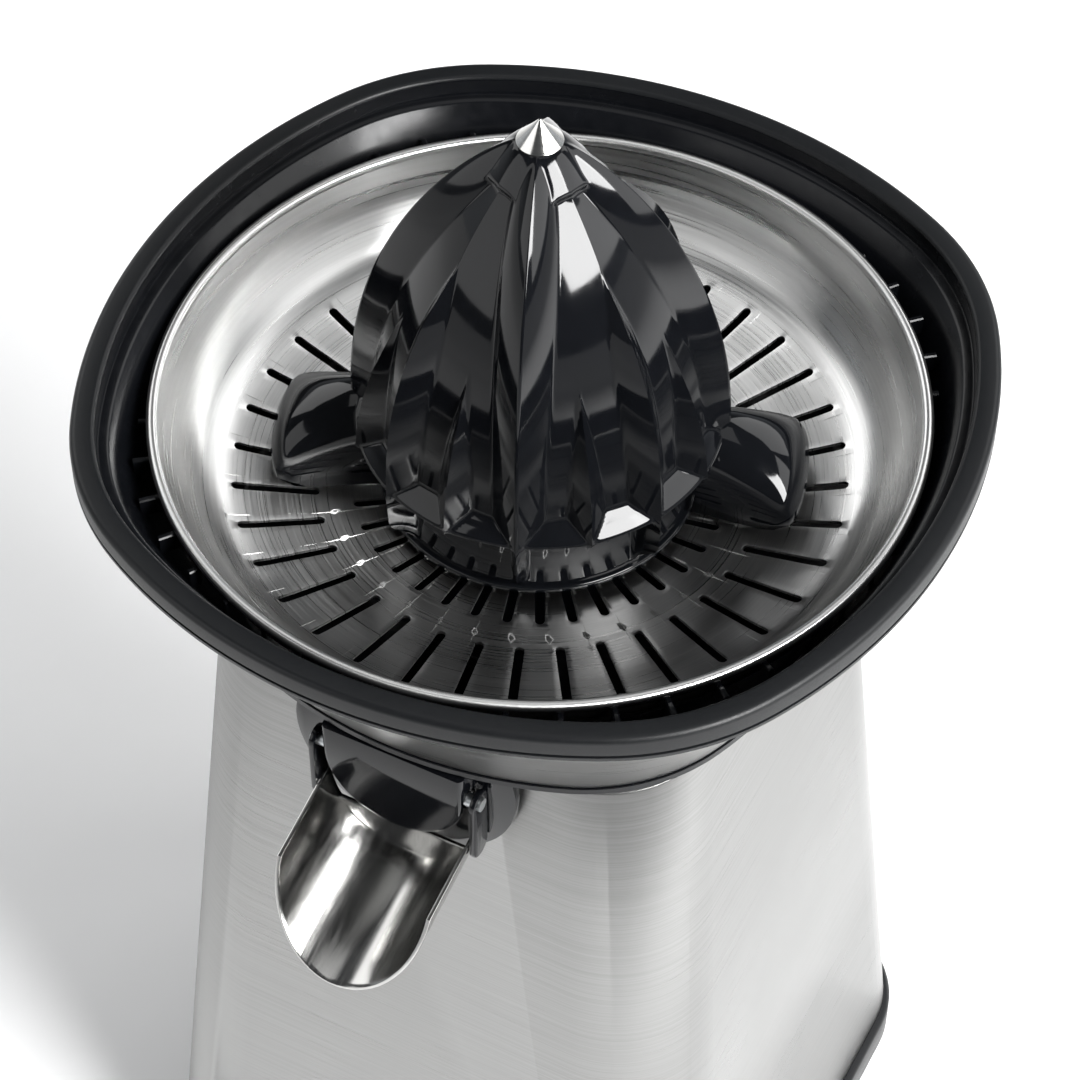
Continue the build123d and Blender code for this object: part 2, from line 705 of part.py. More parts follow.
with BuildPart() as spout_pivots:
    for side in (1, -1):
        with BuildSketch(Plane.YZ.offset(side * nozzle_bore)):
            with Locations((-pivot_front, nozzle_centre)):
                Circle(pivot_radius)
        extrude(amount=side * (gutter_outer + cheek_thick + pivot_end - nozzle_bore))

# Strainer: thin dish with a rolled rim and two rings of slots
bead_centre = strainer_radius - strainer_bead
dish_head = bead_centre - strainer_bead / 2
with BuildPart() as strainer_dish:
    with BuildSketch(Plane.XZ):
        with BuildLine():
            wall = ThreePointArc(
                (dish_head, strainer_rim - strainer_bead),
                (dish_wall_share * strainer_radius, strainer_rim - dish_wall_drop),
                (dish_heel_share * strainer_radius, strainer_rim - dish_heel_drop),
            )
            Polyline(
                wall @ 1,
                (dish_mid_share * strainer_radius, strainer_rim - dish_mid_drop),
                (dish_hole, strainer_rim - dish_floor_drop),
            )
            offset(amount=strainer_sheet, side=Side.LEFT)
        make_face()
        with Locations((bead_centre, strainer_rim - strainer_bead)):
            Circle(strainer_bead)
    revolve(axis=Axis.Z)
    for shares, turn in (
        (long_slot_shares, slot_turn),
        (short_slot_shares, slot_turn + 180 / slot_count),
    ):
        inner, outer = [share * strainer_radius for share in shares]
        with BuildSketch(mode=Mode.PRIVATE) as slot_outline:
            ring_sector(inner, outer, slot_width / (inner + outer))
        with BuildSketch(Plane.XY.offset(dish_floor - cut_overrun)):
            with PolarLocations(0, slot_count, start_angle=turn):
                add(slot_outline.sketch)
        extrude(amount=dish_floor_drop - strainer_bead, mode=Mode.SUBTRACT)

# Reamer: cone lofted through star-shaped sections, ribbed skirt, paddles and socket
cone_sections = zip(
    cone_height_shares, cone_radius_shares, second_rib_shares, third_rib_shares, flute_depth_shares
)
paddle_root = reamer_skirt_radius - reamer_wall / 2
paddle_reach = paddle_reach_share * strainer_radius
paddle_heel = strainer_rim - (dish_heel_drop + dish_mid_drop) / 2 + press_travel + paddle_heel_gap
with BuildPart() as reamer_cone:
    for height, radius, second, third, depth in cone_sections:
        ridge = radius * reamer_radius
        with BuildSketch(Plane.XY.offset(reamer_shoulder + height * reamer_cone_height)):
            rib_star(ridge, ridge * (1 - depth), second, third)
    loft()
    for height, rise in zip(skirt_height_shares, skirt_rib_shares):
        ridge = reamer_skirt_radius + rise * (reamer_radius - reamer_skirt_radius) + press_gap
        with BuildSketch(Plane.XY.offset(reamer_foot + height * reamer_skirt_height)):
            rib_star(ridge, reamer_skirt_radius, 1, 0)
    loft()
    with BuildSketch(Plane.XY.offset(reamer_foot)):
        Circle(reamer_skirt_radius + reamer_flange)
    extrude(amount=reamer_flange_height)
    for half_turn in (0, 180):
        edge = radians(reamer_turn + half_turn - paddle_half_angle)
        paddle_side = Plane((0, 0, 0), x_dir=(cos(edge), sin(edge), 0), z_dir=(sin(edge), -cos(edge), 0))
        with BuildSketch(paddle_side):
            with BuildLine():
                top = ThreePointArc(
                    (paddle_root, strainer_rim - paddle_top_drop),
                    (paddle_brow_share * strainer_radius, strainer_rim - paddle_brow_drop),
                    (paddle_reach, strainer_rim - (paddle_top_drop + dish_wall_drop) / 2 - paddle_bevel),
                )
                Polyline(
                    top @ 1,
                    (paddle_reach, paddle_heel),
                    (paddle_root, reamer_foot + reamer_flange_height),
                    top @ 0,
                )
            make_face()
        revolve(axis=Axis.Z, revolution_arc=2 * paddle_half_angle)
    with BuildSketch(Plane.XZ):
        with BuildLine():
            Polyline(
                (0, reamer_foot - cut_overrun),
                (reamer_skirt_radius - reamer_wall, reamer_foot - cut_overrun),
                (reamer_skirt_radius - reamer_wall, reamer_foot + hollow_shoulder),
                (hollow_head_radius, reamer_foot + hollow_height),
                (socket_radius, reamer_foot + hollow_height),
                (socket_radius, socket_mouth),
                (0, socket_mouth),
                close=True,
            )
        make_face()
    revolve(axis=Axis.Z, mode=Mode.SUBTRACT)
    with BuildSketch(Plane.XY.offset(socket_mouth)):
        RegularPolygon(spindle_hex / 2 + running_gap, 6, major_radius=False)
    extrude(amount=socket_depth, mode=Mode.SUBTRACT)
    with BuildSketch(Plane.XY.offset(reamer_crown)):
        Circle(tip_stem_radius + press_gap)
    extrude(amount=-tip_stem_length, mode=Mode.SUBTRACT)

with BuildPart() as reamer_tip:
    with BuildSketch(Plane.XZ):
        with BuildLine():
            Polyline(
                (0, reamer_crown - tip_stem_length + press_gap),
                (tip_stem_radius, reamer_crown - tip_stem_length + press_gap),
                (tip_stem_radius, reamer_crown + press_gap),
                (tip_radius, reamer_crown + press_gap),
                (0, reamer_crown + tip_height),
                close=True,
            )
        make_face()
    revolve(axis=Axis.Z)

# Spindle: hexagon ends, a round journal and the shoulder that the collar lifts
with BuildPart() as drive_spindle:
    for low, high in ((spindle_foot, journal_level), (upper_hex_level, spindle_head)):
        with BuildSketch(Plane.XY.offset(low)):
            RegularPolygon(spindle_hex / 2, 6, major_radius=False)
        extrude(amount=high - low)
    with BuildSketch(Plane.XY.offset(journal_level)):
        Circle(spindle_radius)
    extrude(amount=upper_hex_level - journal_level)
    with BuildSketch(Plane.XY.offset(shoulder_top)):
        Circle(spindle_shoulder_radius)
    extrude(amount=-spindle_shoulder_height)
    chamfer(drive_spindle.edges().group_by(Axis.Z)[-1], length=edge_round / 2)

with BuildPart() as spindle_clip:
    with BuildSketch(Plane.XY.offset(collar_bottom - clip_gap)):
        Circle(clip_radius)
        Circle(spindle_radius + press_gap, mode=Mode.SUBTRACT)
    extrude(amount=-clip_thick)

collar_arm_reach = plunger_place + plunger_radius + collar_arm_end
with BuildPart() as press_collar:
    with BuildSketch(Plane.XY.offset(collar_bottom)):
        Circle(collar_radius)
    extrude(amount=collar_height)
    with BuildSketch(Plane.XY.offset(collar_bottom)):
        Rectangle(collar_arm_reach, collar_arm_width, align=(Align.MIN, Align.CENTER))
    extrude(amount=collar_arm_height)
    with BuildSketch(Plane.XY.offset(collar_bottom)):
        Circle(spindle_radius + running_gap)
    extrude(amount=collar_height, mode=Mode.SUBTRACT)

spring_radius = cover_boss_radius + slip_gap + spring_wire / 2
spring_length = collar_bottom - cover_top - spring_wire - 2 * press_gap
with BuildPart() as return_spring:
    with BuildLine() as spring_line:
        Helix(spring_length / spring_coils, spring_length, spring_radius,
              center=(0, 0, cover_top + spring_wire / 2 + press_gap))
    with BuildSketch(Plane(spring_line.line @ 0, z_dir=spring_line.line % 0)):
        RegularPolygon(spring_wire / 2, 6)
    sweep(is_frenet=True)

# Switch on the gearbox cover, closed by the collar's arm
plunger_top = collar_bottom - seat_gap
with BuildPart() as microswitch:
    with BuildSketch(Plane.XY.offset(cover_top)):
        with Locations((switch_near, 0)):
            Rectangle(switch_length, switch_width, align=(Align.MIN, Align.CENTER))
    extrude(amount=switch_height)
    with BuildSketch(Plane.XY.offset(plunger_top - plunger_length - press_travel - slip_gap)):
        with Locations((plunger_place, 0)):
            Circle(plunger_radius + running_gap)
    extrude(amount=switch_height, mode=Mode.SUBTRACT)
    with BuildSketch(Plane.XY.offset(cover_top)):
        with Locations((switch_screw_place, 0)):
            Circle(small_screw_radius + press_gap)
    extrude(amount=switch_height, mode=Mode.SUBTRACT)

with BuildPart() as switch_plunger:
    with BuildSketch(Plane.XY.offset(plunger_top)):
        with Locations((plunger_place, 0)):
            Circle(plunger_radius)
    extrude(amount=-plunger_length)

with BuildPart() as switch_screw:
    with BuildSketch(Plane.XY.offset(cover_top + switch_height)):
        with Locations((switch_screw_place, 0)):
            Circle(small_screw_head)
    extrude(amount=small_screw_head_height)
    with BuildSketch(Plane.XY.offset(cover_top + switch_height)):
        with Locations((switch_screw_place, 0)):
            Circle(small_screw_radius)
    extrude(amount=-switch_height - cover_thick)

# Gearbox: cover on four spacers, two gear stages between it and the motor plate
spacer_places = [
    (side * spacer_side, place) for side in (1, -1) for place in (-spacer_front, spacer_back)
]
with BuildPart() as gearbox_cover:
    with BuildSketch(Plane.XY.offset(cover_level)):
        with Locations((0, (cover_back - cover_front) / 2)):
            RectangleRounded(2 * cover_half, cover_front + cover_back, cover_corner)
    extrude(amount=cover_thick)
    with BuildSketch(Plane.XY.offset(cover_top)):
        Circle(cover_boss_radius)
    extrude(amount=cover_boss_height)
    with BuildSketch(Plane.XY.offset(cover_level)):
        Circle(output_journal + running_gap)
        with Locations((0, gear_centres)):
            Circle(axle_radius + press_gap)
        with Locations(*spacer_places, (switch_screw_place, 0)):
            Circle(small_screw_radius + press_gap)
    extrude(amount=cover_thick + cover_boss_height, mode=Mode.SUBTRACT)

with BuildPart() as gearbox_spacers:
    with BuildSketch(Plane.XY.offset(plate_top)):
        with Locations(*spacer_places):
            Circle(spacer_radius)
            Circle(small_screw_radius + press_gap, mode=Mode.SUBTRACT)
    extrude(amount=cover_level - plate_top)

with BuildPart() as gearbox_screws:
    with BuildSketch(Plane.XY.offset(cover_top)):
        with Locations(*spacer_places):
            Circle(small_screw_head)
    extrude(amount=small_screw_head_height)
    with BuildSketch(Plane.XY.offset(plate_level)):
        with Locations(*spacer_places):
            Circle(small_screw_radius)
    extrude(amount=cover_top - plate_level)

with BuildPart() as cluster_axle:
    with BuildSketch(Plane.XY.offset(plate_level)):
        with Locations((0, gear_centres)):
            Circle(axle_radius)
    extrude(amount=cover_top - plate_level)

half_pitch = 180 / pinion_teeth
with BuildPart() as motor_pinion:
    with BuildSketch(Plane.XY.offset(upper_level - pinion_face + slip_gap)):
        gear_outline(pinion_teeth, 90 + half_pitch)
        Circle(shaft_radius + press_gap, mode=Mode.SUBTRACT)
    extrude(amount=pinion_face)

with BuildPart() as cluster_gear:
    with BuildSketch(Plane((0, gear_centres, wheel_level))):
        gear_outline(wheel_teeth, -90)
    extrude(amount=wheel_face)
    with BuildSketch(Plane((0, gear_centres, upper_level))):
        gear_outline(pinion_teeth, -90 + half_pitch)
    extrude(amount=upper_pinion_face)
    with BuildSketch(Plane((0, gear_centres, plate_top + slip_gap))):
        Circle(cluster_boss)
    extrude(amount=cover_level - plate_top - 2 * slip_gap)
    with BuildSketch(Plane((0, gear_centres, plate_top))):
        Circle(axle_radius + running_gap)
    extrude(amount=cover_level - plate_top, mode=Mode.SUBTRACT)

with BuildPart() as output_gear:
    with BuildSketch(Plane.XY.offset(output_level)):
        gear_outline(wheel_teeth, 90)
    extrude(amount=output_face)
    with BuildSketch(Plane.XY.offset(output_level)):
        Circle(output_hub_radius)
    extrude(amount=cover_level - clip_gap - output_level)
    with BuildSketch(Plane.XY.offset(output_level)):
        Circle(output_journal)
    extrude(amount=output_top - output_level)
    with BuildSketch(Plane.XY.offset(output_level)):
        RegularPolygon(spindle_hex / 2 + running_gap, 6, major_radius=False)
    extrude(amount=output_top - output_level, mode=Mode.SUBTRACT)

with BuildPart() as output_clip:
    with BuildSketch(Plane.XY.offset(boss_top + clip_gap)):
        Circle(output_clip_radius)
        Circle(output_journal + press_gap, mode=Mode.SUBTRACT)
    extrude(amount=clip_thick)

# Motor plate and can motor
with BuildPart() as motor_plate:
    with BuildSketch(Plane.XY.offset(plate_level)):
        square_outline(plate_half, plate_corner)
        Circle(can_nose_radius + press_gap, mode=Mode.SUBTRACT)
        with GridLocations(2 * post_place, 2 * post_place, 2, 2):
            Circle(tie_radius + slip_gap, mode=Mode.SUBTRACT)
        with Locations((motor_screw_place, 0), (-motor_screw_place, 0)):
            Circle(motor_screw_radius + press_gap, mode=Mode.SUBTRACT)
        with Locations(*spacer_places):
            Circle(small_screw_radius + press_gap, mode=Mode.SUBTRACT)
        with Locations((0, gear_centres)):
            Circle(axle_radius + press_gap, mode=Mode.SUBTRACT)
    extrude(amount=plate_thick)

can_bottom = plate_level - can_height
with BuildPart() as motor_can:
    with BuildSketch(Plane.XY.offset(can_bottom)):
        Circle(can_radius)
    extrude(amount=can_height)
    with BuildSketch(Plane.XY.offset(can_bottom)):
        Circle(can_radius - can_wall)
    extrude(amount=can_height - can_wall, mode=Mode.SUBTRACT)
    with BuildSketch(Plane.XY.offset(plate_level - can_nose_depth)):
        Circle(can_nose_radius)
    extrude(amount=can_nose_depth + plate_thick)
    with BuildSketch(Plane.XY.offset(plate_level - can_nose_depth)):
        Circle(bearing_radius + press_gap)
    extrude(amount=can_nose_depth + plate_thick, mode=Mode.SUBTRACT)
    with BuildSketch(Plane.XY.offset(plate_level - can_wall)):
        with Locations((motor_screw_place, 0), (-motor_screw_place, 0)):
            Circle(motor_screw_radius + press_gap)
    extrude(amount=can_wall, mode=Mode.SUBTRACT)

with BuildPart() as motor_screws:
    with BuildSketch(Plane.XY.offset(plate_top)):
        with Locations((motor_screw_place, 0), (-motor_screw_place, 0)):
            Circle(motor_screw_head)
    extrude(amount=motor_screw_head_height)
    with BuildSketch(Plane.XY.offset(plate_top)):
        with Locations((motor_screw_place, 0), (-motor_screw_place, 0)):
            Circle(motor_screw_radius)
    extrude(amount=-plate_thick - can_wall)

brush_level = can_bottom + commutator_lift + (commutator_height - brush_height) / 2
holder_length = commutator_radius + brush_length - holder_near
with BuildPart() as motor_end_cap:
    with BuildSketch(Plane.XY.offset(can_bottom - cap_height)):
        Circle(can_radius)
    extrude(amount=cap_height)
    with BuildSketch(Plane.XY.offset(can_bottom)):
        Circle(can_radius - can_wall - press_gap)
        Circle(can_radius - 2 * can_wall, mode=Mode.SUBTRACT)
    extrude(amount=cap_spigot)
    with BuildSketch(Plane.XY.offset(can_bottom)):
        Circle(cap_hub_radius)
    extrude(amount=cap_spigot)
    with BuildSketch(Plane.XY.offset(can_bottom)):
        for side in (1, -1):
            with Locations((side * (holder_near + holder_length / 2), 0)):
                Rectangle(holder_length, brush_width + 2 * holder_wall)
    extrude(amount=brush_level + brush_height + holder_wall - can_bottom)
    with BuildSketch(Plane.XY.offset(brush_level - press_gap)):
        Rectangle(2 * (holder_near + holder_length), brush_width + 2 * press_gap)
    extrude(amount=brush_height + 2 * press_gap, mode=Mode.SUBTRACT)
    with BuildSketch(Plane.XY.offset(can_bottom + cap_spigot - bearing_length)):
        Circle(bearing_radius + press_gap)
    extrude(amount=bearing_length, mode=Mode.SUBTRACT)

with BuildPart() as motor_bearings:
    for level in (can_bottom + cap_spigot - bearing_length, plate_top - bearing_length):
        with BuildSketch(Plane.XY.offset(level)):
            Circle(bearing_radius)
            Circle(shaft_radius + running_gap, mode=Mode.SUBTRACT)
        extrude(amount=bearing_length)

with BuildPart() as carbon_brushes:
    with BuildSketch(Plane.XY.offset(brush_level)):
        for side in (1, -1):
            with Locations((side * (commutator_radius + running_gap + brush_length / 2), 0)):
                Rectangle(brush_length, brush_width)
    extrude(amount=brush_height)

magnet_outer = can_radius - can_wall - press_gap
core_radius = magnet_outer - magnet_thick - air_gap
with BuildPart() as motor_magnets:
    for half_turn in (0, 180):
        edge = radians(half_turn - magnet_angle / 2)
        magnet_side = Plane((0, 0, 0), x_dir=(cos(edge), sin(edge), 0), z_dir=(sin(edge), -cos(edge), 0))
        with BuildSketch(magnet_side):
            with Locations((magnet_outer, can_bottom + magnet_lift)):
                Rectangle(magnet_thick, magnet_height, align=(Align.MAX, Align.MIN))
        revolve(axis=Axis.Z, revolution_arc=magnet_angle)

core_level = can_bottom + core_lift
with BuildPart() as rotor_core:
    with BuildSketch(Plane.XY.offset(core_level)):
        Circle(core_radius)
        with PolarLocations(core_radius, core_slot_count):
            Rectangle(2 * core_slot_depth, core_slot_width, mode=Mode.SUBTRACT)
        Circle(shaft_radius + press_gap, mode=Mode.SUBTRACT)
    extrude(amount=core_height)

with BuildPart() as rotor_winding:
    for level in (core_level - winding_height, core_level + core_height):
        with BuildSketch(Plane.XY.offset(level)):
            Circle(winding_outer)
            Circle(winding_inner, mode=Mode.SUBTRACT)
        extrude(amount=winding_height)

with BuildPart() as commutator:
    with BuildSketch(Plane.XY.offset(can_bottom + commutator_lift)):
        Circle(commutator_radius)
        Circle(shaft_radius + press_gap, mode=Mode.SUBTRACT)
    extrude(amount=commutator_height)

shaft_foot = can_bottom + cap_spigot - bearing_length + clip_gap
shaft_top = upper_level + slip_gap + shaft_end
with BuildPart() as rotor_shaft:
    with BuildSketch(Plane.XY.offset(shaft_foot)):
        Circle(shaft_radius)
    extrude(amount=shaft_top - shaft_foot)

pieces = {
    "housing_sleeve": housing_sleeve,
    "base_plinth": base_plinth,
    "rubber_feet": rubber_feet,
    "tie_screws": tie_screws,
    "top_deck": top_deck,
    "spindle_tower": spindle_tower,
    "spindle_bush": spindle_bush,
    "spindle_seal": spindle_seal,
    "cord_gland": cord_gland,
    "juice_bowl": juice_bowl,
    "bowl_skirt": bowl_skirt,
    "outlet_nozzle": outlet_nozzle,
    "nozzle_gasket": nozzle_gasket,
    "spout_gutter": spout_gutter,
    "spout_cheeks": spout_cheeks,
    "spout_pivots": spout_pivots,
    "strainer_dish": strainer_dish,
    "reamer_cone": reamer_cone,
    "reamer_tip": reamer_tip,
    "drive_spindle": drive_spindle,
    "spindle_clip": spindle_clip,
    "press_collar": press_collar,
    "return_spring": return_spring,
    "microswitch": microswitch,
    "switch_plunger": switch_plunger,
    "switch_screw": switch_screw,
    "gearbox_cover": gearbox_cover,
    "gearbox_spacers": gearbox_spacers,
    "gearbox_screws": gearbox_screws,
    "cluster_axle": cluster_axle,
    "cluster_gear": cluster_gear,
    "output_gear": output_gear,
    "output_clip": output_clip,
    "motor_plate": motor_plate,
    "motor_can": motor_can,
    "motor_screws": motor_screws,
    "motor_end_cap": motor_end_cap,
    "motor_bearings": motor_bearings,
    "carbon_brushes": carbon_brushes,
    "motor_magnets": motor_magnets,
    "rotor_core": rotor_core,
    "rotor_winding": rotor_winding,
    "commutator": commutator,
    "rotor_shaft": rotor_shaft,
    "motor_pinion": motor_pinion,
}
os.makedirs("parts", exist_ok=True)
for name, piece in pieces.items():
    piece.part.label = name
    export_step(piece.part, f"parts/{name}.step")
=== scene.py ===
"""Looks of an electric citrus juicer, built on its packed solids.

Metres, +Z up, in the frame of the solids. The spout is at the front, towards -Y.
"""

import json
from math import acos, atan2, cos, hypot, pi, radians, sin, sqrt, tau

import bmesh
import bpy
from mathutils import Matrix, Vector
from mathutils.geometry import delaunay_2d_cdt


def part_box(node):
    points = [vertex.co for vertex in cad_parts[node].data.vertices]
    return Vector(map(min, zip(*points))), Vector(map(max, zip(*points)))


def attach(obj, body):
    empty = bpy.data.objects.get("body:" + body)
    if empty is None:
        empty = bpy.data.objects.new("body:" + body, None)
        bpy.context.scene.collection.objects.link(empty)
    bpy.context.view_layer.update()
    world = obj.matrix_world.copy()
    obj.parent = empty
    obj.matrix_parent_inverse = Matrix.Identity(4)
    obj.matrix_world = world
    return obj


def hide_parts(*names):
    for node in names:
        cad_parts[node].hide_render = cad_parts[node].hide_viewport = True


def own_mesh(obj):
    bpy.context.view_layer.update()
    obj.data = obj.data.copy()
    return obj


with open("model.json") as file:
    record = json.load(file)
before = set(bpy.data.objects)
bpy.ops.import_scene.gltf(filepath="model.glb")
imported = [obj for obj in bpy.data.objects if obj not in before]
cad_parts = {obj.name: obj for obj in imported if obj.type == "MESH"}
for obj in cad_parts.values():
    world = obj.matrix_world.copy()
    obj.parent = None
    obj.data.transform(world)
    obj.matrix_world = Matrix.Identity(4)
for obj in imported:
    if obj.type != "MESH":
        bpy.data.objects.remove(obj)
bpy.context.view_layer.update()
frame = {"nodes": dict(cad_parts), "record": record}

bl_info = {
    "name": "Citrus juicer looks",
    "version": (1, 0, 0),
    "blender": (4, 5, 0),
    "location": "3D View > Sidebar > Juicer",
    "description": "Dresses the solids of an electric citrus juicer and lights them",
    "category": "Add Mesh",
}

MM = 0.001
MERGE = 0.002 * MM  # points nearer than this become one
HAIR = 0.02 * MM  # room between pieces that would share a face


def low(node):
    """Lowest corner of a node of the solids."""
    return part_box(node)[0]


def high(node):
    """Highest corner of a node of the solids."""
    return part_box(node)[1]


def middle(node):
    """Middle of a node's box."""
    return (low(node) + high(node)) / 2


def length(name, description, default):
    """A length that the sidebar shows."""
    return bpy.props.FloatProperty(
        name=name, description=description, default=default, unit="LENGTH", precision=4
    )


def turn(name, description, default):
    """An angle that the sidebar shows in degrees."""
    return bpy.props.FloatProperty(
        name=name, description=description, default=radians(default), unit="ROTATION"
    )


def factor(name, description, default):
    """A bare number that the sidebar shows."""
    return bpy.props.FloatProperty(name=name, description=description, default=default, subtype="FACTOR")


def colour(name, description, code):
    """A colour that the sidebar shows, given as an sRGB hex value."""
    return bpy.props.FloatVectorProperty(
        name=name, description=description, default=linear(code), subtype="COLOR", size=4,
        min=0, max=1,
    )


def linear(code):
    """Linear colour with alpha from an sRGB hex value."""
    parts = [int(code[place : place + 2], 16) / 255 for place in (1, 3, 5)]
    return [c / 12.92 if c <= 0.04045 else ((c + 0.055) / 1.055) ** 2.4 for c in parts] + [1.0]


# A finish's name, dark and pale tone, grain in millimetres along each axis, roughness from and to,
# height of its relief in millimetres, and the shader's own sockets, with around where the grain runs in
# circles. Brushed lines, spun rings and the satin specks are drawn coarser than the real ones, so that
# they show
FINISHES = {
    # Stainless sheet, belt brushed level: long fine lines that stretch reflections up and down
    "brushed_stainless": (
        "Stainless steel sheet, brushed level", "#7c7c7b", "#9a9a99", (60, 60, 0.35), (0.27, 0.36), 0.004,
        {"Metallic": 1.0, "Anisotropic": 0.55},
    ),
    # Stainless dish, spun and brushed: rings that fan highlights out from the middle
    "spun_stainless": (
        "Stainless steel dish, spun and brushed", "#bebebd", "#dededd", (0.5, 0.5, 8), (0.24, 0.36), 0.0015,
        {"around": True, "Metallic": 1.0, "Anisotropic": 0.72},
    ),
    # Stainless sheet, polished: clear reflections with a faint haze of hairlines
    "polished_stainless": (
        "Stainless steel sheet, polished", "#a2a2a0", "#bab9b7", (0.6, 6, 6), (0.13, 0.2), 0.002,
        {"Metallic": 1.0},
    ),
    # Stainless tip, turned and polished: tight rings that break the highlight a little
    "turned_stainless": (
        "Stainless steel, turned and polished", "#c6c5c2", "#dddcd9", (0.3, 0.3, 2), (0.12, 0.2), 0.001,
        {"around": True, "Metallic": 1.0},
    ),
    # ABS, moulded against a mirror: deep black with sharp reflections, a little wavy
    "gloss_black": (
        "ABS, moulded gloss black", "#08090b", "#0c0d10", (4, 4, 4), (0.05, 0.09), 0.002,
        {"Specular IOR Level": 0.33},
    ),
    # ABS, moulded against a stoned tool: black with blurred reflections, as inside the bowl
    "bowl_black": (
        "ABS, moulded half gloss black", "#07080a", "#0b0c0f", (3, 3, 3), (0.18, 0.26), 0.003,
        {"Specular IOR Level": 0.22},
    ),
    # ABS, moulded against a fine spark texture: soft grey sheen on black
    "satin_black": (
        "ABS, moulded satin black", "#08090b", "#0d0f11", (0.4, 0.4, 0.4), (0.34, 0.44), 0.01,
        {"Specular IOR Level": 0.26},
    ),
    # Moulded rubber: dull and slightly dusty
    "soft_rubber": (
        "Rubber, moulded black", "#141414", "#1f1f1f", (0.7, 0.7, 0.7), (0.7, 0.85), 0.02,
        {"IOR": 1.52},
    ),
    # Mild steel, zinc plated: cool grey with a faint spangle
    "zinc_steel": (
        "Mild steel, zinc plated", "#a3a7aa", "#c3c6c6", (2.5, 2.5, 2.5), (0.28, 0.42), 0.004,
        {"Metallic": 1.0},
    ),
    # Ground bar: tight hairlines around the shaft
    "ground_steel": (
        "Steel bar, ground", "#b9b9b8", "#d2d2d0", (3, 3, 0.3), (0.16, 0.24), 0.002,
        {"Metallic": 1.0},
    ),
    # Drawn wire: dark steel with a dull shine along the coils
    "spring_steel": (
        "Spring steel, drawn wire", "#8e8d8a", "#a9a8a4", (0.8, 0.8, 0.8), (0.25, 0.35), 0.004,
        {"Metallic": 1.0},
    ),
    # Sintered bronze: warm, dull and full of pores
    "sintered_bronze": (
        "Bronze, sintered", "#8a6238", "#b98a52", (0.5, 0.5, 0.5), (0.4, 0.55), 0.02,
        {"Metallic": 1.0},
    ),
    # Turned brass: yellow with rings from the tool
    "turned_brass": (
        "Brass, turned", "#b9943f", "#d8b560", (0.4, 0.4, 4), (0.18, 0.28), 0.003,
        {"around": True, "Metallic": 1.0},
    ),
    # Enamelled copper wire: reddish with a varnish gloss
    "copper": (
        "Copper wire, enamelled", "#8f4a24", "#c77a44", (0.5, 3, 0.5), (0.2, 0.32), 0.03,
        {"Metallic": 1.0},
    ),
    # Stacked laminations: dark grey with fine level lines
    "core_iron": (
        "Electrical steel, laminated", "#565759", "#7a7b7d", (20, 20, 0.5), (0.4, 0.55), 0.02,
        {"Metallic": 1.0},
    ),
    # Ferrite: near black ceramic
    "ferrite": (
        "Ferrite, ground", "#2a2a2c", "#3b3b3e", (0.8, 0.8, 0.8), (0.45, 0.6), 0.008,
        {"IOR": 2.0},
    ),
    # Pressed carbon: black with a graphite shine
    "carbon": (
        "Carbon, pressed", "#19191a", "#2b2b2c", (0.4, 0.4, 0.4), (0.45, 0.6), 0.01,
        {"IOR": 1.9},
    ),
    # Nylon: milky white with a soft sheen
    "white_nylon": (
        "Nylon, moulded natural", "#dcd8ca", "#ece9de", (6, 6, 6), (0.36, 0.48), 0.006,
        {"IOR": 1.53},
    ),
    # Acetal: smooth deep red, as on the switch's button
    "red_plastic": (
        "Acetal, moulded red", "#93150f", "#b0221a", (3, 3, 3), (0.3, 0.4), 0.004,
        {"IOR": 1.48},
    ),
}


class FinishColours(bpy.types.PropertyGroup):
    """Dark and pale tones of the finishes."""

    __annotations__ = {
        f"{slot}_{end}": colour(f"{row[0]}, {end}", f"The {end} end of the finish's tones", code)
        for slot, row in FINISHES.items()
        for end, code in zip(("dark", "pale"), row[1:3])
    }


class HousingSizes(bpy.types.PropertyGroup):
    """Steel sleeve with the plinth under it and the deck on top."""

    foot_half: length("Foot half width", "Half the sleeve's width at its foot", 0.068)
    head_half: length("Head half width", "Half the sleeve's width at its head", 0.0522)
    corner: length("Corner", "Radius of the sleeve's upright corners", 0.022)
    wall: length("Wall", "Thickness of the steel sheet", 0.001)
    notch: length("Notch", "Radius of the notch for the nozzle", 0.0166)
    gland_hole: length("Gland hole", "Radius of the hole for the lead's bush", 0.0053)
    foot_radius: length("Foot radius", "Radius of one rubber foot", 0.008)
    foot_place: length("Foot place", "Distance of a foot from the middle, along each side", 0.049)


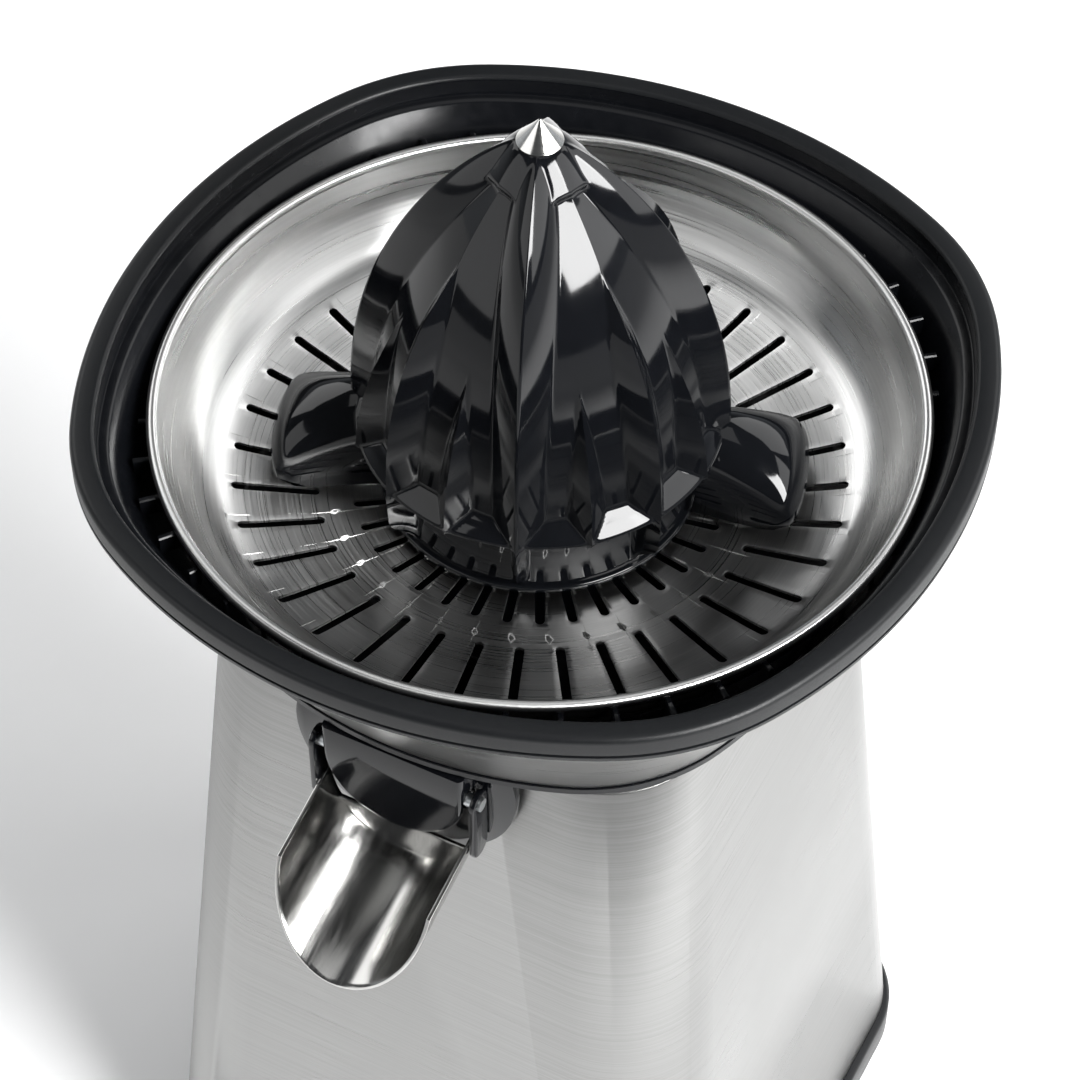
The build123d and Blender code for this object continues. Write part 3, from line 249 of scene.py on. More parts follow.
class BowlSizes(bpy.types.PropertyGroup):
    """Funnel bowl with its rim, hub and fins, and the steel skirt around it."""

    rim_flat: length("Rim half width", "Half the rim's width across its flats", 0.0853)
    rim_width: length("Rim band", "Width of the rim's upper face", 0.0048)
    bulge: length("Corner bulge", "How far the corners stand out past the flats", 0.0043)
    corner_share: factor("Corner share", "Corner radius over the half width", 0.62)
    head_flat: length("Skirt head", "Half the skirt's width at its head", 0.0808)
    foot_flat: length("Skirt foot", "Half the skirt's width at its foot", 0.0616)
    sheet: length("Skirt sheet", "Thickness of the skirt", 0.0008)
    wall: length("Bowl wall", "Thickness of the moulded wall", 0.0022)
    floor: length("Bowl floor", "Thickness of the floor", 0.003)
    hub_inner: length("Hub bore", "Inner radius of the hub", 0.0096)
    hub_outer: length("Hub", "Outer radius of the hub", 0.0118)
    hub_height: length("Hub height", "Height of the hub above the bowl's foot", 0.021)
    drain_half: length("Drain half width", "Half the drain's width", 0.009)
    drain_near: length("Drain near edge", "Distance of the drain's near edge from the axis", 0.034)
    drain_far: length("Drain far edge", "Distance of the drain's far edge from the axis", 0.05)
    fin_thick: length("Fin thickness", "Thickness of a fin under the strainer", 0.0012)
    fin_height: length("Fin height", "Height of a fin under the strainer", 0.004)
    fin_count: bpy.props.IntProperty(name="Fins", description="Fins around the bowl", default=48, min=4)


class StrainerSizes(bpy.types.PropertyGroup):
    """Spun dish with two rings of slots."""

    bead: length("Rim bead", "Radius of the rolled rim", 0.00115)
    sheet: length("Sheet", "Thickness of the dish", 0.0007)
    hole: length("Hole", "Radius of the hole for the hub", 0.017)
    slot_width: length("Slot width", "Width of a slot", 0.0019)
    slot_turn: turn("Slot turn", "Angle of the first long slot", 2.25)
    slot_count: bpy.props.IntProperty(name="Slots", description="Slots in each ring", default=36, min=4)


class ReamerSizes(bpy.types.PropertyGroup):
    """Ribbed cone on its skirt, with two paddles and a steel tip."""

    radius: length("Ridge radius", "Radius of the cone over its ribs", 0.0365)
    cone_height: length("Cone height", "Height of the cone above its shoulder", 0.069)
    skirt_radius: length("Skirt radius", "Radius of the skirt under the shoulder", 0.03)
    wall: length("Wall", "Thickness of the skirt", 0.0032)
    socket: length("Socket", "Outer radius of the socket for the spindle", 0.009)
    socket_flats: length("Socket flats", "Half the width of the socket across its flats", 0.00406)
    turned: turn("Turn", "Angle at which the reamer stopped", 20.25)
    paddle_reach: length("Paddle reach", "Distance of a paddle's end from the axis", 0.052)
    paddle_half: turn("Paddle half angle", "Half the angle that a paddle covers", 15.0)
    tip_radius: length("Tip radius", "Radius of the steel tip", 0.0043)


class SpoutSizes(bpy.types.PropertyGroup):
    """Nozzle under the drain and the tilting gutter."""

    radius: length("Gutter radius", "Inner radius of the gutter", 0.0159)
    sheet: length("Gutter sheet", "Thickness of the gutter", 0.0008)
    run: length("Gutter length", "Length of the gutter from the pivots to its end", 0.034)
    tongue: length("Tongue", "Length of the rounded end", 0.0148)
    drop: length("Drop", "The gutter's upper edges below the pivots", 0.0106)
    slope: turn("Slope", "Slope of the gutter", 15.0)
    root: length("Root", "The gutter's root behind the pivots", 0.0019)
    back_drop: length("Back wall", "Top of the gutter's back wall below the pivots", 0.0182)
    flange_lip: length("Flange lip", "How far the nozzle's flange stands out past the gutter", 0.0024)


class StageSizes(bpy.types.PropertyGroup):
    """Camera and studio."""

    lens: bpy.props.FloatProperty(
        name="Lens", description="Focal length on a 36 mm sensor", default=115.48, unit="CAMERA"
    )
    camera_place: bpy.props.FloatVectorProperty(
        name="Camera place", description="Place of the camera from the middle of the strainer's rim",
        default=(0.2068, -0.4015, 0.4814), subtype="TRANSLATION", unit="LENGTH",
    )
    facing: turn("Camera turn", "How far round from the front the camera stands", 27.25)
    tilt: turn("Camera tilt", "Angle of the camera's view from straight down", 40.81)
    room_tone: colour("Room", "Colour of the light from all around", "#c9cdd2")
    room_glow: factor("Room light", "Strength of the light from all around", 0.12)
    wall_glow: factor("Wall light", "Strength that the walls behind add", 0.75)
    floor_glow: factor("Floor light", "Strength of the sweep's glow far from the juicer", 0.62)


def add(tree, kind, inputs=None, **settings):
    """Adds a node with its settings; an input is a value or the output that feeds it."""
    made = tree.nodes.new(kind)
    for key, value in settings.items():
        setattr(made, key, value)
    for key, value in (inputs or {}).items():
        if isinstance(value, bpy.types.NodeSocket):
            tree.links.new(value, made.inputs[key])
        else:
            made.inputs[key].default_value = value
    return made


def make_finish(name, pair, grain, rough, bump, around=False, **surface):
    """Material whose grain, in millimetres along each axis, shifts colour, roughness and height.

    With around set, the grain runs in circles about the upright axis, and wander is how much it
    varies along them. Patches of some centimetres are a little smoother or duller, as handling leaves.
    """
    patch, wander = 38, 0.012
    smoother, duller = 0.93, 1.12
    noise_low, noise_high = 0.3, 0.7
    material = bpy.data.materials.new(name)
    material.use_nodes = True
    tree = material.node_tree
    tree.nodes.clear()
    place = add(tree, "ShaderNodeTexCoord").outputs["Object"]
    if around:
        parts = add(tree, "ShaderNodeSeparateXYZ", {0: place})
        flat = add(tree, "ShaderNodeCombineXYZ", {0: parts.outputs[0], 1: parts.outputs[1]})
        radius = add(tree, "ShaderNodeVectorMath", {0: flat.outputs[0]}, operation="LENGTH")
        along = add(tree, "ShaderNodeVectorMath", {0: flat.outputs[0], "Scale": wander}, operation="SCALE")
        shift = add(tree, "ShaderNodeCombineXYZ", {0: radius.outputs["Value"], 1: radius.outputs["Value"]})
        ringed = add(tree, "ShaderNodeVectorMath", {0: along.outputs[0], 1: shift.outputs[0]})
        place_of_grain = ringed.outputs[0]
    else:
        place_of_grain = place
    scale = [1 / (size * MM) for size in grain]
    mapped = add(tree, "ShaderNodeMapping", {"Vector": place_of_grain, "Scale": scale})
    fine = add(tree, "ShaderNodeTexNoise", {"Vector": mapped.outputs[0], "Scale": 1.0, "Detail": 3.0})
    cloud = add(tree, "ShaderNodeTexNoise", {"Vector": place, "Scale": 1 / (patch * MM), "Detail": 2.0})
    tone = add(tree, "ShaderNodeMix", {0: fine.outputs[0], 6: pair[0], 7: pair[1]}, data_type="RGBA")
    grain_rough = add(
        tree, "ShaderNodeMapRange",
        {0: fine.outputs[0], 1: noise_low, 2: noise_high, 3: rough[0], 4: rough[1]},
    )
    handled = add(
        tree, "ShaderNodeMapRange",
        {0: cloud.outputs[0], 1: noise_low, 2: noise_high, 3: smoother, 4: duller},
    )
    roughness = add(
        tree, "ShaderNodeMath", {0: grain_rough.outputs[0], 1: handled.outputs[0]}, operation="MULTIPLY"
    )
    relief = add(
        tree, "ShaderNodeBump", {"Strength": 0.5, "Distance": bump * MM, "Height": fine.outputs[0]}
    )
    sockets = {
        "Base Color": tone.outputs[2], "Roughness": roughness.outputs[0], "Normal": relief.outputs[0]
    }
    if surface.get("Anisotropic"):
        sockets["Tangent"] = add(tree, "ShaderNodeTangent", direction_type="RADIAL", axis="Z").outputs[0]
    shader = add(tree, "ShaderNodeBsdfPrincipled", {**sockets, **surface})
    add(tree, "ShaderNodeOutputMaterial", {"Surface": shader.outputs[0]})
    return material


def make_finishes(colours):
    """Materials of the juicer, by the names of the record's slots where they match."""
    made = {}
    for slot, (name, _, _, grain, rough, bump, settings) in FINISHES.items():
        pair = getattr(colours, f"{slot}_dark"), getattr(colours, f"{slot}_pale")
        made[slot] = make_finish(name, pair, grain, rough, bump, **settings)
    return made


def materials_of(*slots):
    """Materials of the named finishes, in order."""
    names = bpy.context.scene["juicer_finish_names"]
    return [bpy.data.materials[names[slot]] for slot in slots]


def show(name, data):
    """A new object in the scene."""
    made = bpy.data.objects.new(name, data)
    bpy.context.scene.collection.objects.link(made)
    return made


def make_object(name, points, faces, finishes, smooth_angle=35, marks=None):
    """A piece from points and faces; marks gives each face the place of its finish in the list."""
    mesh = bpy.data.meshes.new(name)
    mesh.from_pydata([tuple(p) for p in points], [], faces)
    shape = bmesh.new()
    shape.from_mesh(mesh)
    if marks:
        for face, mark in zip(shape.faces, marks):
            face.material_index = mark
    bmesh.ops.remove_doubles(shape, verts=shape.verts, dist=MERGE)
    bmesh.ops.recalc_face_normals(shape, faces=shape.faces)
    shape.to_mesh(mesh)
    shape.free()
    for finish in finishes:
        mesh.materials.append(finish)
    made = show(name, mesh)
    shade(made, smooth_angle)
    return made


def shade(piece, smooth_angle):
    """Smooth shading with sharp edges past an angle in degrees."""
    piece.data.shade_smooth()
    piece.data.set_sharp_from_angle(angle=radians(smooth_angle))


def skin(rings, caps=(False, False), loop=False):
    """Points and faces of a surface through rings of equally many points."""
    count = len(rings[0])
    points = [p for ring in rings for p in ring]
    faces = []
    for row in range(len(rings) if loop else len(rings) - 1):
        here, there = row * count, (row + 1) % len(rings) * count
        for step in range(count):
            after = (step + 1) % count
            faces.append((here + step, here + after, there + after, there + step))
    if caps[0]:
        faces.append(tuple(reversed(range(count))))
    if caps[1]:
        faces.append(tuple(range(len(points) - count, len(points))))
    return points, faces


def extend(shape, other):
    """Adds another shape's points and faces to a shape's."""
    shift = len(shape[0])
    shape[0].extend(other[0])
    shape[1].extend(tuple(n + shift for n in face) for face in other[1])


def arc(radius, centre=(0.0, 0.0), start=0.0, sweep=tau, steps=32):
    """Pairs along an arc; a full circle doesn't come back to its first pair."""
    angles = [start + sweep * n / steps for n in range(steps if sweep == tau else steps + 1)]
    return [(centre[0] + radius * cos(a), centre[1] + radius * sin(a)) for a in angles]


def prism(outline, ends, axis):
    """Closed bar between two ends on axis 0, 1 or 2, from an outline of pairs on the other two."""
    rings = [[pair[:axis] + (end,) + pair[axis:] for pair in outline] for end in ends]
    return skin(rings, caps=(True, True))


def soften(piece, width, angle):
    """Rounds the edges past an angle in degrees, so that they catch the light."""
    bevel = piece.modifiers.new("soft edges", "BEVEL")
    bevel.width, bevel.segments = width, 2
    bevel.limit_method, bevel.angle_limit = "ANGLE", radians(angle)


def bake(piece, smooth_angle=None):
    """Turns a piece's modifiers into its plain mesh and removes them."""
    graph = bpy.context.evaluated_depsgraph_get()
    mesh = bpy.data.meshes.new_from_object(piece.evaluated_get(graph))
    piece.modifiers.clear()
    piece.data = mesh
    if smooth_angle is not None:
        shade(piece, smooth_angle)
    return piece


def cut(piece, points, faces):
    """Cuts a closed shape out of a piece."""
    tool = make_object("cutter", points, faces, [])
    change = piece.modifiers.new("cut", "BOOLEAN")
    change.operation, change.solver, change.object = "DIFFERENCE", "EXACT", tool
    bake(piece)
    bpy.data.objects.remove(tool)


def settle(piece, body, slot, *nodes):
    """Lets a piece ride on its body and stand for its nodes; the slot is not used."""
    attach(piece, body)
    if nodes:
        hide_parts(*nodes)


def smooth_copy(node, name, finish, soft_edge):
    """A copy of a node's mesh, merged, with soft edges that catch the light."""
    piece = show(name, frame["nodes"][node].data.copy())
    shape = bmesh.new()
    shape.from_mesh(piece.data)
    bmesh.ops.remove_doubles(shape, verts=shape.verts, dist=MERGE)
    bmesh.ops.dissolve_limit(shape, angle_limit=radians(0.5), verts=shape.verts, edges=shape.edges)
    shape.to_mesh(piece.data)
    shape.free()
    for extra in [a.name for a in piece.data.attributes if a.name == "custom_normal"]:
        piece.data.attributes.remove(piece.data.attributes[extra])
    piece.data.materials.clear()
    piece.data.materials.append(finish)
    if soft_edge:
        soften(piece, soft_edge, 35)
    return bake(piece, 32)


def repeat_tree(name):
    """Geometry nodes that set a unit on every point of a ring, turned outwards, as one mesh."""
    tree = bpy.data.node_groups.new(name, "GeometryNodeTree")
    face = tree.interface
    for label, kind in (
        ("Points", "NodeSocketGeometry"),
        ("Unit", "NodeSocketObject"),
        ("Inner radius", "NodeSocketFloat"),
        ("Finish", "NodeSocketMaterial"),
    ):
        face.new_socket(label, in_out="INPUT", socket_type=kind)
    face.new_socket("Mesh", in_out="OUTPUT", socket_type="NodeSocketGeometry")
    given = add(tree, "NodeGroupInput").outputs
    unit = add(tree, "GeometryNodeObjectInfo", {"Object": given["Unit"]})
    place = add(tree, "ShaderNodeSeparateXYZ", {0: add(tree, "GeometryNodeInputPosition").outputs[0]})
    heading = add(
        tree, "ShaderNodeMath", {0: place.outputs[1], 1: place.outputs[0]}, operation="ARCTAN2"
    )
    turned = add(tree, "ShaderNodeCombineXYZ", {2: heading.outputs[0]})
    flat = add(tree, "ShaderNodeCombineXYZ", {0: place.outputs[0], 1: place.outputs[1]})
    reach = add(tree, "ShaderNodeVectorMath", {0: flat.outputs[0]}, operation="LENGTH")
    stretch = add(
        tree, "ShaderNodeMath", {0: reach.outputs["Value"], 1: given["Inner radius"]}, operation="SUBTRACT"
    )
    sized = add(tree, "ShaderNodeCombineXYZ", {0: stretch.outputs[0], 1: 1.0, 2: 1.0})
    spread = add(
        tree, "GeometryNodeInstanceOnPoints",
        {"Points": given["Points"], "Instance": unit.outputs["Geometry"], "Rotation": turned.outputs[0],
         "Scale": sized.outputs[0]},
    )
    whole = add(tree, "GeometryNodeRealizeInstances", {0: spread.outputs[0]})
    merged = add(tree, "GeometryNodeMergeByDistance", {"Geometry": whole.outputs[0], "Distance": MERGE})
    dressed = add(
        tree, "GeometryNodeSetMaterial", {"Geometry": merged.outputs[0], "Material": given["Finish"]}
    )
    add(tree, "NodeGroupOutput", {0: dressed.outputs[0]})
    return tree


def repeat(piece, unit, inner_radius, finish):
    """Sets copies of a unit on the points of a piece and bakes them into its mesh."""
    change = piece.modifiers.new("repeat", "NODES")
    change.node_group = repeat_tree(f"{piece.name} repeated")
    values = {"Unit": unit, "Inner radius": inner_radius, "Finish": finish}
    for socket in change.node_group.interface.items_tree:
        if socket.in_out == "INPUT" and socket.name in values:
            change[socket.identifier] = values[socket.name]
    bake(piece)
    bpy.data.objects.remove(unit)
    return piece


def blend_curve(places, values):
    """Function that runs smoothly through given values without overshooting."""
    count = len(places) - 1
    steps = [(values[k + 1] - values[k]) / (places[k + 1] - places[k]) for k in range(count)]
    slopes = [steps[0]]
    for before, after in zip(steps, steps[1:]):
        slopes.append(0 if before * after <= 0 else 2 * before * after / (before + after))
    slopes.append(steps[-1])

    def value(place):
        place = min(max(place, places[0]), places[-1])
        k = max(n for n in range(count) if places[n] <= place)
        span = places[k + 1] - places[k]
        t = (place - places[k]) / span
        return (
            values[k] * (1 + 2 * t) * (1 - t) ** 2
            + slopes[k] * span * t * (1 - t) ** 2
            + values[k + 1] * t * t * (3 - 2 * t)
            + slopes[k + 1] * span * t * t * (t - 1)
        )

    return value


def soft_radius(flat, angle, bulge, corner_share):
    """Distance from the axis to a soft square outline of tangent arcs, at an angle."""
    angle = abs((angle + pi / 4) % (pi / 2) - pi / 4)
    round_radius = corner_share * flat
    centre = (flat + bulge - round_radius) / sqrt(2)
    side = flat - round_radius
    bow = (2 * centre**2 - side**2) / (2 * (side - centre))
    meet = atan2(centre, centre + bow)
    across, along = (flat + bow) * sin(meet), (flat + bow) * cos(meet) - bow
    if angle <= atan2(across, along):
        pole, radius = Vector((-bow, 0)), flat + bow
    else:
        pole, radius = Vector((centre, centre)), round_radius
    ahead = pole.x * cos(angle) + pole.y * sin(angle)
    return ahead + sqrt(ahead**2 - pole.length_squared + radius**2)


def soft_ring(flat, level, sizes, count, roundness=0.0):
    """Ring of points on the soft square, or on a circle where roundness is one."""
    ring = []
    for step in range(count):
        angle = tau * step / count
        radius = soft_radius(flat, angle, sizes.bulge, sizes.corner_share) if roundness < 1 else flat
        radius += roundness * (flat - radius)
        ring.append((radius * cos(angle), radius * sin(angle), level))
    return ring


def square_ring(half, corner, level, steps=14):
    """Ring of points on a rounded square, with an extra point beside each end of a flat side."""
    ring = []
    straight, beside = half - corner, 0.6 * MM
    for quarter in range(4):
        first = quarter * pi / 2
        across = Vector((cos(first + pi / 2), sin(first + pi / 2)))
        out = Vector((cos(first), sin(first)))
        centre = (out + across) * straight
        ring.append(out * half + across * (straight - beside))
        for step in range(steps + 1):
            angle = first + pi / 2 * step / steps
            ring.append(centre + Vector((cos(angle), sin(angle))) * corner)
        ring.append(across * half + out * (straight - beside))
    return [(p.x, p.y, level) for p in ring]


def turned_rings(profile, count):
    """Rings of a turned piece from radius and level."""
    return [[(x, y, level) for x, y in arc(radius, steps=count)] for radius, level in profile]


class JUICER_OT_stage(bpy.types.Operator):
    """Camera, pale floor and soft studio light"""

    bl_idname = "juicer.stage"
    bl_label = "Stage"

    def execute(self, context):
        sizes = context.scene.juicer_stage
        lens = bpy.data.cameras.new("camera")
        lens.lens, lens.sensor_width = sizes.lens, 36.0
        lens.clip_start, lens.clip_end = 0.05, 60.0
        camera = show("camera", lens)
        camera.location = Vector(sizes.camera_place) + Vector((0, 0, high("strainer_dish").z))
        camera.rotation_euler = (sizes.tilt, 0.0, sizes.facing)
        context.scene.camera = camera
        to_camera = Vector((sin(sizes.facing), -cos(sizes.facing), 0))

        white = linear("#f4f4f4"), linear("#fafafa")
        paper = make_finish("Paper, matt white", white, (40, 40, 40), (0.9, 0.95), 0.001)
        tree = paper.node_tree
        # The sweep glows from behind the juicer and far before it, so it stays pale up to the horizon
        ahead, glow_from, glow_full = 0.35, 0.55, 1.8
        place = add(tree, "ShaderNodeTexCoord").outputs["Object"]
        apart = add(tree, "ShaderNodeVectorMath", {0: place, 1: to_camera * ahead}, operation="DISTANCE")
        lit = add(
            tree, "ShaderNodeMapRange",
            {0: apart.outputs["Value"], 1: glow_from, 2: glow_full, 3: 0.0, 4: sizes.floor_glow},
            interpolation_type="SMOOTHSTEP",
        )
        shader = next(node for node in tree.nodes if node.bl_idname == "ShaderNodeBsdfPrincipled")
        shader.inputs["Emission Color"].default_value = (1, 1, 1, 1)
        tree.links.new(lit.outputs[0], shader.inputs["Emission Strength"])
        reach = 30
        corners = [(-reach, -reach, 0), (reach, -reach, 0), (reach, reach, 0), (-reach, reach, 0)]
        make_object("floor", corners, [(0, 1, 2, 3)], [paper])

        world = bpy.data.worlds.new("room")
        world.use_nodes = True
        tree = world.node_tree
        tree.nodes.clear()
        # White walls behind and beside the juicer, a dark room towards the camera and above
        wall_from, wall_full = -0.35, 0.45
        wall_top, dark_from = 0.12, 0.5
        towards = add(tree, "ShaderNodeTexCoord").outputs["Generated"]
        behind = add(tree, "ShaderNodeVectorMath", {0: towards, 1: -to_camera}, operation="DOT_PRODUCT")
        parts = add(tree, "ShaderNodeSeparateXYZ", {0: towards})
        wall = add(
            tree, "ShaderNodeMapRange",
            {0: behind.outputs["Value"], 1: wall_from, 2: wall_full, 3: 0.0, 4: sizes.wall_glow},
            interpolation_type="SMOOTHSTEP",
        )
        band = add(
            tree, "ShaderNodeMapRange",
            {0: parts.outputs[2], 1: wall_top, 2: dark_from, 3: 1.0, 4: 0.0},
            interpolation_type="SMOOTHSTEP",
        )
        walls = add(
            tree, "ShaderNodeMath", {0: wall.outputs[0], 1: band.outputs[0], 2: sizes.room_glow},
            operation="MULTIPLY_ADD",
        )
        glow = add(tree, "ShaderNodeBackground", {"Color": sizes.room_tone, "Strength": walls.outputs[0]})
        add(tree, "ShaderNodeOutputWorld", {"Surface": glow.outputs[0]})
        context.scene.world = world
        context.scene.view_settings.view_transform = "Standard"

        aim = Vector((0, 0, 0.22))
        # Degrees round from the camera and up, distance, width, height and power
        for name, around, up, away, wide, tall, power in (
            ("key softbox", 46, 33, 1.1, 0.5, 0.62, 30),
            ("right wing", 78, 26, 1.3, 0.9, 0.9, 8.0),
            ("left wing", -70, 26, 1.3, 1.0, 0.9, 4.5),
            ("back left softbox", -138, 34, 1.3, 0.9, 0.6, 4.2),
            ("back right softbox", 134, 34, 1.3, 0.9, 0.6, 4.4),
            ("overhead softbox", 180, 82, 1.7, 1.2, 1.2, 4.5),
        ):
            lamp = bpy.data.lights.new(name, "AREA")
            lamp.shape, lamp.size, lamp.size_y, lamp.energy = "RECTANGLE", wide, tall, power
            holder = show(name, lamp)
            heading, rise = radians(around) + sizes.facing, radians(up)
            offset = Vector((sin(heading) * cos(rise), -cos(heading) * cos(rise), sin(rise))) * away
            holder.location = aim + offset
            holder.rotation_euler = (-offset).to_track_quat("-Z", "Y").to_euler()
        return {"FINISHED"}


class JUICER_OT_housing(bpy.types.Operator):
    """Brushed steel sleeve, plinth, feet, deck and the bush for the lead"""

    bl_idname = "juicer.housing"
    bl_label = "Housing"

    def execute(self, context):
        sizes = context.scene.juicer_housing
        steel, black, rubber = materials_of("brushed_stainless", "satin_black", "soft_rubber")
        foot, head = low("housing_sleeve").z, high("housing_sleeve").z
        edge, ease = 0.4 * MM, 0.25 * MM
        levels = (foot, foot + edge, head - edge, head)
        rings = []
        for inset, order in ((0.0, levels), (sizes.wall, levels[::-1])):
            for level in order:
                share = (level - foot) / (head - foot)
                half = sizes.foot_half + share * (sizes.head_half - sizes.foot_half) - inset
                if level in (foot, head):
                    half += ease if inset else -ease
                rings.append(square_ring(half, sizes.corner - inset, level))
        sleeve = make_object("housing_sleeve_brushed", *skin(rings, loop=True), [steel], smooth_angle=40)
        notch, above = sizes.notch, head + 20 * MM
        outline = arc(notch, (0.0, middle("spout_pivots").z), pi, pi, 24)
        outline += [(notch, above), (-notch, above)]
        front, back = (-0.03, -0.12), (0.03, 0.12)
        cut(sleeve, *prism(outline, front, 1))
        cut(sleeve, *prism(arc(sizes.gland_hole, (0.0, middle("cord_gland").z)), back, 1))
        shade(sleeve, 40)
        settle(sleeve, "base", "brushed_stainless", "housing_sleeve")

        for node, edge in (("base_plinth", 0.5), ("top_deck", 0.3), ("spindle_tower", 0.3)):
            settle(smooth_copy(node, f"{node}_moulded", black, edge * MM), "base", "satin_black", node)
        gland = smooth_copy("cord_gland", "cord_gland_moulded", rubber, 0.4 * MM)
        settle(gland, "base", "soft_rubber", "cord_gland")

        wide, top, at = sizes.foot_radius, high("rubber_feet").z, sizes.foot_place
        # A shallow cup underneath, a rounded edge and an upright side
        profile = [
            (wide - 2.2 * MM, 0.4 * MM), (wide - 1.7 * MM, 0.0), (wide - 1.2 * MM, 0.0),
            (wide - 0.5 * MM, 0.35 * MM), (wide, 1.2 * MM), (wide, top),
        ]
        unit = make_object("foot", *skin(turned_rings(profile, 40), caps=(True, True)), [rubber])
        corners = [(at, at, 0), (-at, at, 0), (-at, -at, 0), (at, -at, 0)]
        feet = make_object("rubber_feet_moulded", corners, [], [])
        repeat(feet, unit, hypot(at, at) - 1.0, rubber)
        shade(feet, 40)
        settle(feet, "base", "soft_rubber", "rubber_feet")
        return {"FINISHED"}


class JUICER_OT_bowl(bpy.types.Operator):
    """Half gloss bowl with its satin rim and fins, and the steel skirt"""

    bl_idname = "juicer.bowl"
    bl_label = "Bowl"

    def execute(self, context):
        sizes = context.scene.juicer_bowl
        steel, gloss, satin = materials_of("brushed_stainless", "bowl_black", "satin_black")
        count = 288
        bottom, top = low("juice_bowl").z, high("juice_bowl").z
        skirt_low, skirt_high = low("bowl_skirt").z, high("bowl_skirt").z
        lean = (sizes.head_flat - sizes.foot_flat) / (skirt_high - skirt_low)

        def funnel(level, inset):
            """Half width of the leaning wall at a level, set in from the skirt's outer face."""
            return sizes.foot_flat + (level - skirt_low) * lean - inset * hypot(1, lean)

        inner, behind = sizes.sheet + sizes.wall, sizes.sheet + HAIR
        rim, rim_inner = sizes.rim_flat, sizes.rim_flat - sizes.rim_width
        under = skirt_high + HAIR
        shelf = under + 1.4 * MM
        floor = bottom + sizes.floor
        groove = 0.6 * MM
        outer_round, inner_round = 1.3 * MM, 1.0 * MM
        # Foot, up behind the skirt, under the rim, and the rim's side with its groove
        wall = [
            (sizes.foot_flat + 0.2 * MM, bottom), (sizes.foot_flat + 0.5 * MM, bottom + 0.3 * MM),
            (sizes.foot_flat + 0.5 * MM, skirt_low - HAIR),
            (funnel(skirt_low, behind), skirt_low - HAIR), (funnel(under, behind), under),
            (rim - 0.5 * MM, under), (rim - 0.1 * MM, under + 0.15 * MM), (rim, under + 0.5 * MM),
            (rim, under + 1.1 * MM), (rim - groove, under + 1.25 * MM), (rim - groove, under + 1.6 * MM),
            (rim, under + 1.8 * MM), (rim, top - outer_round),
        ]
        satin_from = 4
        wall += arc(outer_round, (rim - outer_round, top - outer_round), 0, pi / 2, 6)[1:]
        wall += arc(inner_round, (rim_inner + inner_round, top - inner_round), pi / 2, pi / 2, 6)
        satin_to = len(wall) - 2
        # Shelf inside the rim, the wall down to the floor, and the rounded corner there
        wall += [
            (rim_inner, shelf + 0.6 * MM), (rim_inner - 0.2 * MM, shelf + 0.15 * MM),
            (rim_inner - 0.6 * MM, shelf), (funnel(shelf, inner) + 0.5 * MM, shelf),
            (funnel(shelf, inner) - 0.1 * MM, shelf - 0.4 * MM),
        ]
        for share in (0.2, 0.4, 0.6, 0.8, 0.9):
            level = shelf + share * (floor - shelf)
            wall.append((funnel(level, inner), level))
        corner, bend, steps = 3.5 * MM, radians(63), 5
        for step in range(steps + 1):
            angle = bend * step / steps
            draw_in = corner * 0.9 * (1 - cos(angle)) + 1.2 * MM * step / steps
            rise = corner * (1 - sin(angle) / sin(bend))
            wall.append((funnel(floor + corner, inner) - draw_in, floor + rise))
        outline = [(flat, level, 0) for flat, level in wall]
        # The floor turns from the soft square into a circle, and the hub is round
        wide, hub, bore = funnel(floor, inner) - 2.5 * MM, sizes.hub_outer, sizes.hub_inner
        hub_top = bottom + sizes.hub_height
        for share in (0.3, 0.7, 1.0):
            outline.append((wide + share * (hub + 1.0 * MM - wide), floor, share))
        for radius, level in (
            (hub, floor + 1.0 * MM), (hub, hub_top - 0.6 * MM), (hub - 0.6 * MM, hub_top),
            (bore + 0.4 * MM, hub_top), (bore, hub_top - 0.4 * MM), (bore, bottom), (bore + 8 * MM, bottom),
        ):
            outline.append((radius, level, 1))
        rings = [soft_ring(flat, level, sizes, count, roundness) for flat, level, roundness in outline]
        points, faces = skin(rings, loop=True)
        marks = [1 if satin_from <= n // count < satin_to else 0 for n in range(len(faces))]
        bowl = make_object("juice_bowl_moulded", points, faces, [gloss, satin], marks=marks)
        half, near, far = sizes.drain_half, -sizes.drain_near, -sizes.drain_far
        drain = [(half, far), (half, near), (-half, near), (-half, far)]
        cut(bowl, *prism(drain, (bottom - 10 * MM, floor + 4 * MM), 2))
        shade(bowl, 35)
        settle(bowl, "bowl", "gloss_black", "juice_bowl")

        fin_top = high("strainer_dish").z - 2.5 * MM
        fin_inner = high("strainer_dish").x - 0.8 * MM
        half, tall, soft = sizes.fin_thick / 2, sizes.fin_height, 0.25 * MM
        section = [(-half, -tall), (half, -tall), (half, -soft)]
        section += [(half - soft, 0), (soft - half, 0), (-half, -soft)]
        in_wall = 0.12  # share of a fin's length that goes into the bowl's wall
        unit = make_object("fin", *prism(section, (-1.0, in_wall), 0), [gloss])
        roots = soft_ring(funnel(fin_top - tall, inner), fin_top, sizes, sizes.fin_count)
        fins = make_object("bowl_fins", roots, [], [])
        settle(repeat(fins, unit, fin_inner, gloss), "bowl", "gloss_black")

        rings = []
        levels = (skirt_low, skirt_low + 0.3 * MM, skirt_high)
        for inset, order in ((0.0, levels), (sizes.sheet, levels[::-1])):
            for level in order:
                ease = 0.2 * MM if level == skirt_low and not inset else 0.0
                rings.append(soft_ring(funnel(level, inset) - ease, level, sizes, count))
        skirt = make_object("bowl_skirt_spun", *skin(rings, loop=True), [steel])
        settle(skirt, "bowl", "brushed_stainless", "bowl_skirt")
        return {"FINISHED"}


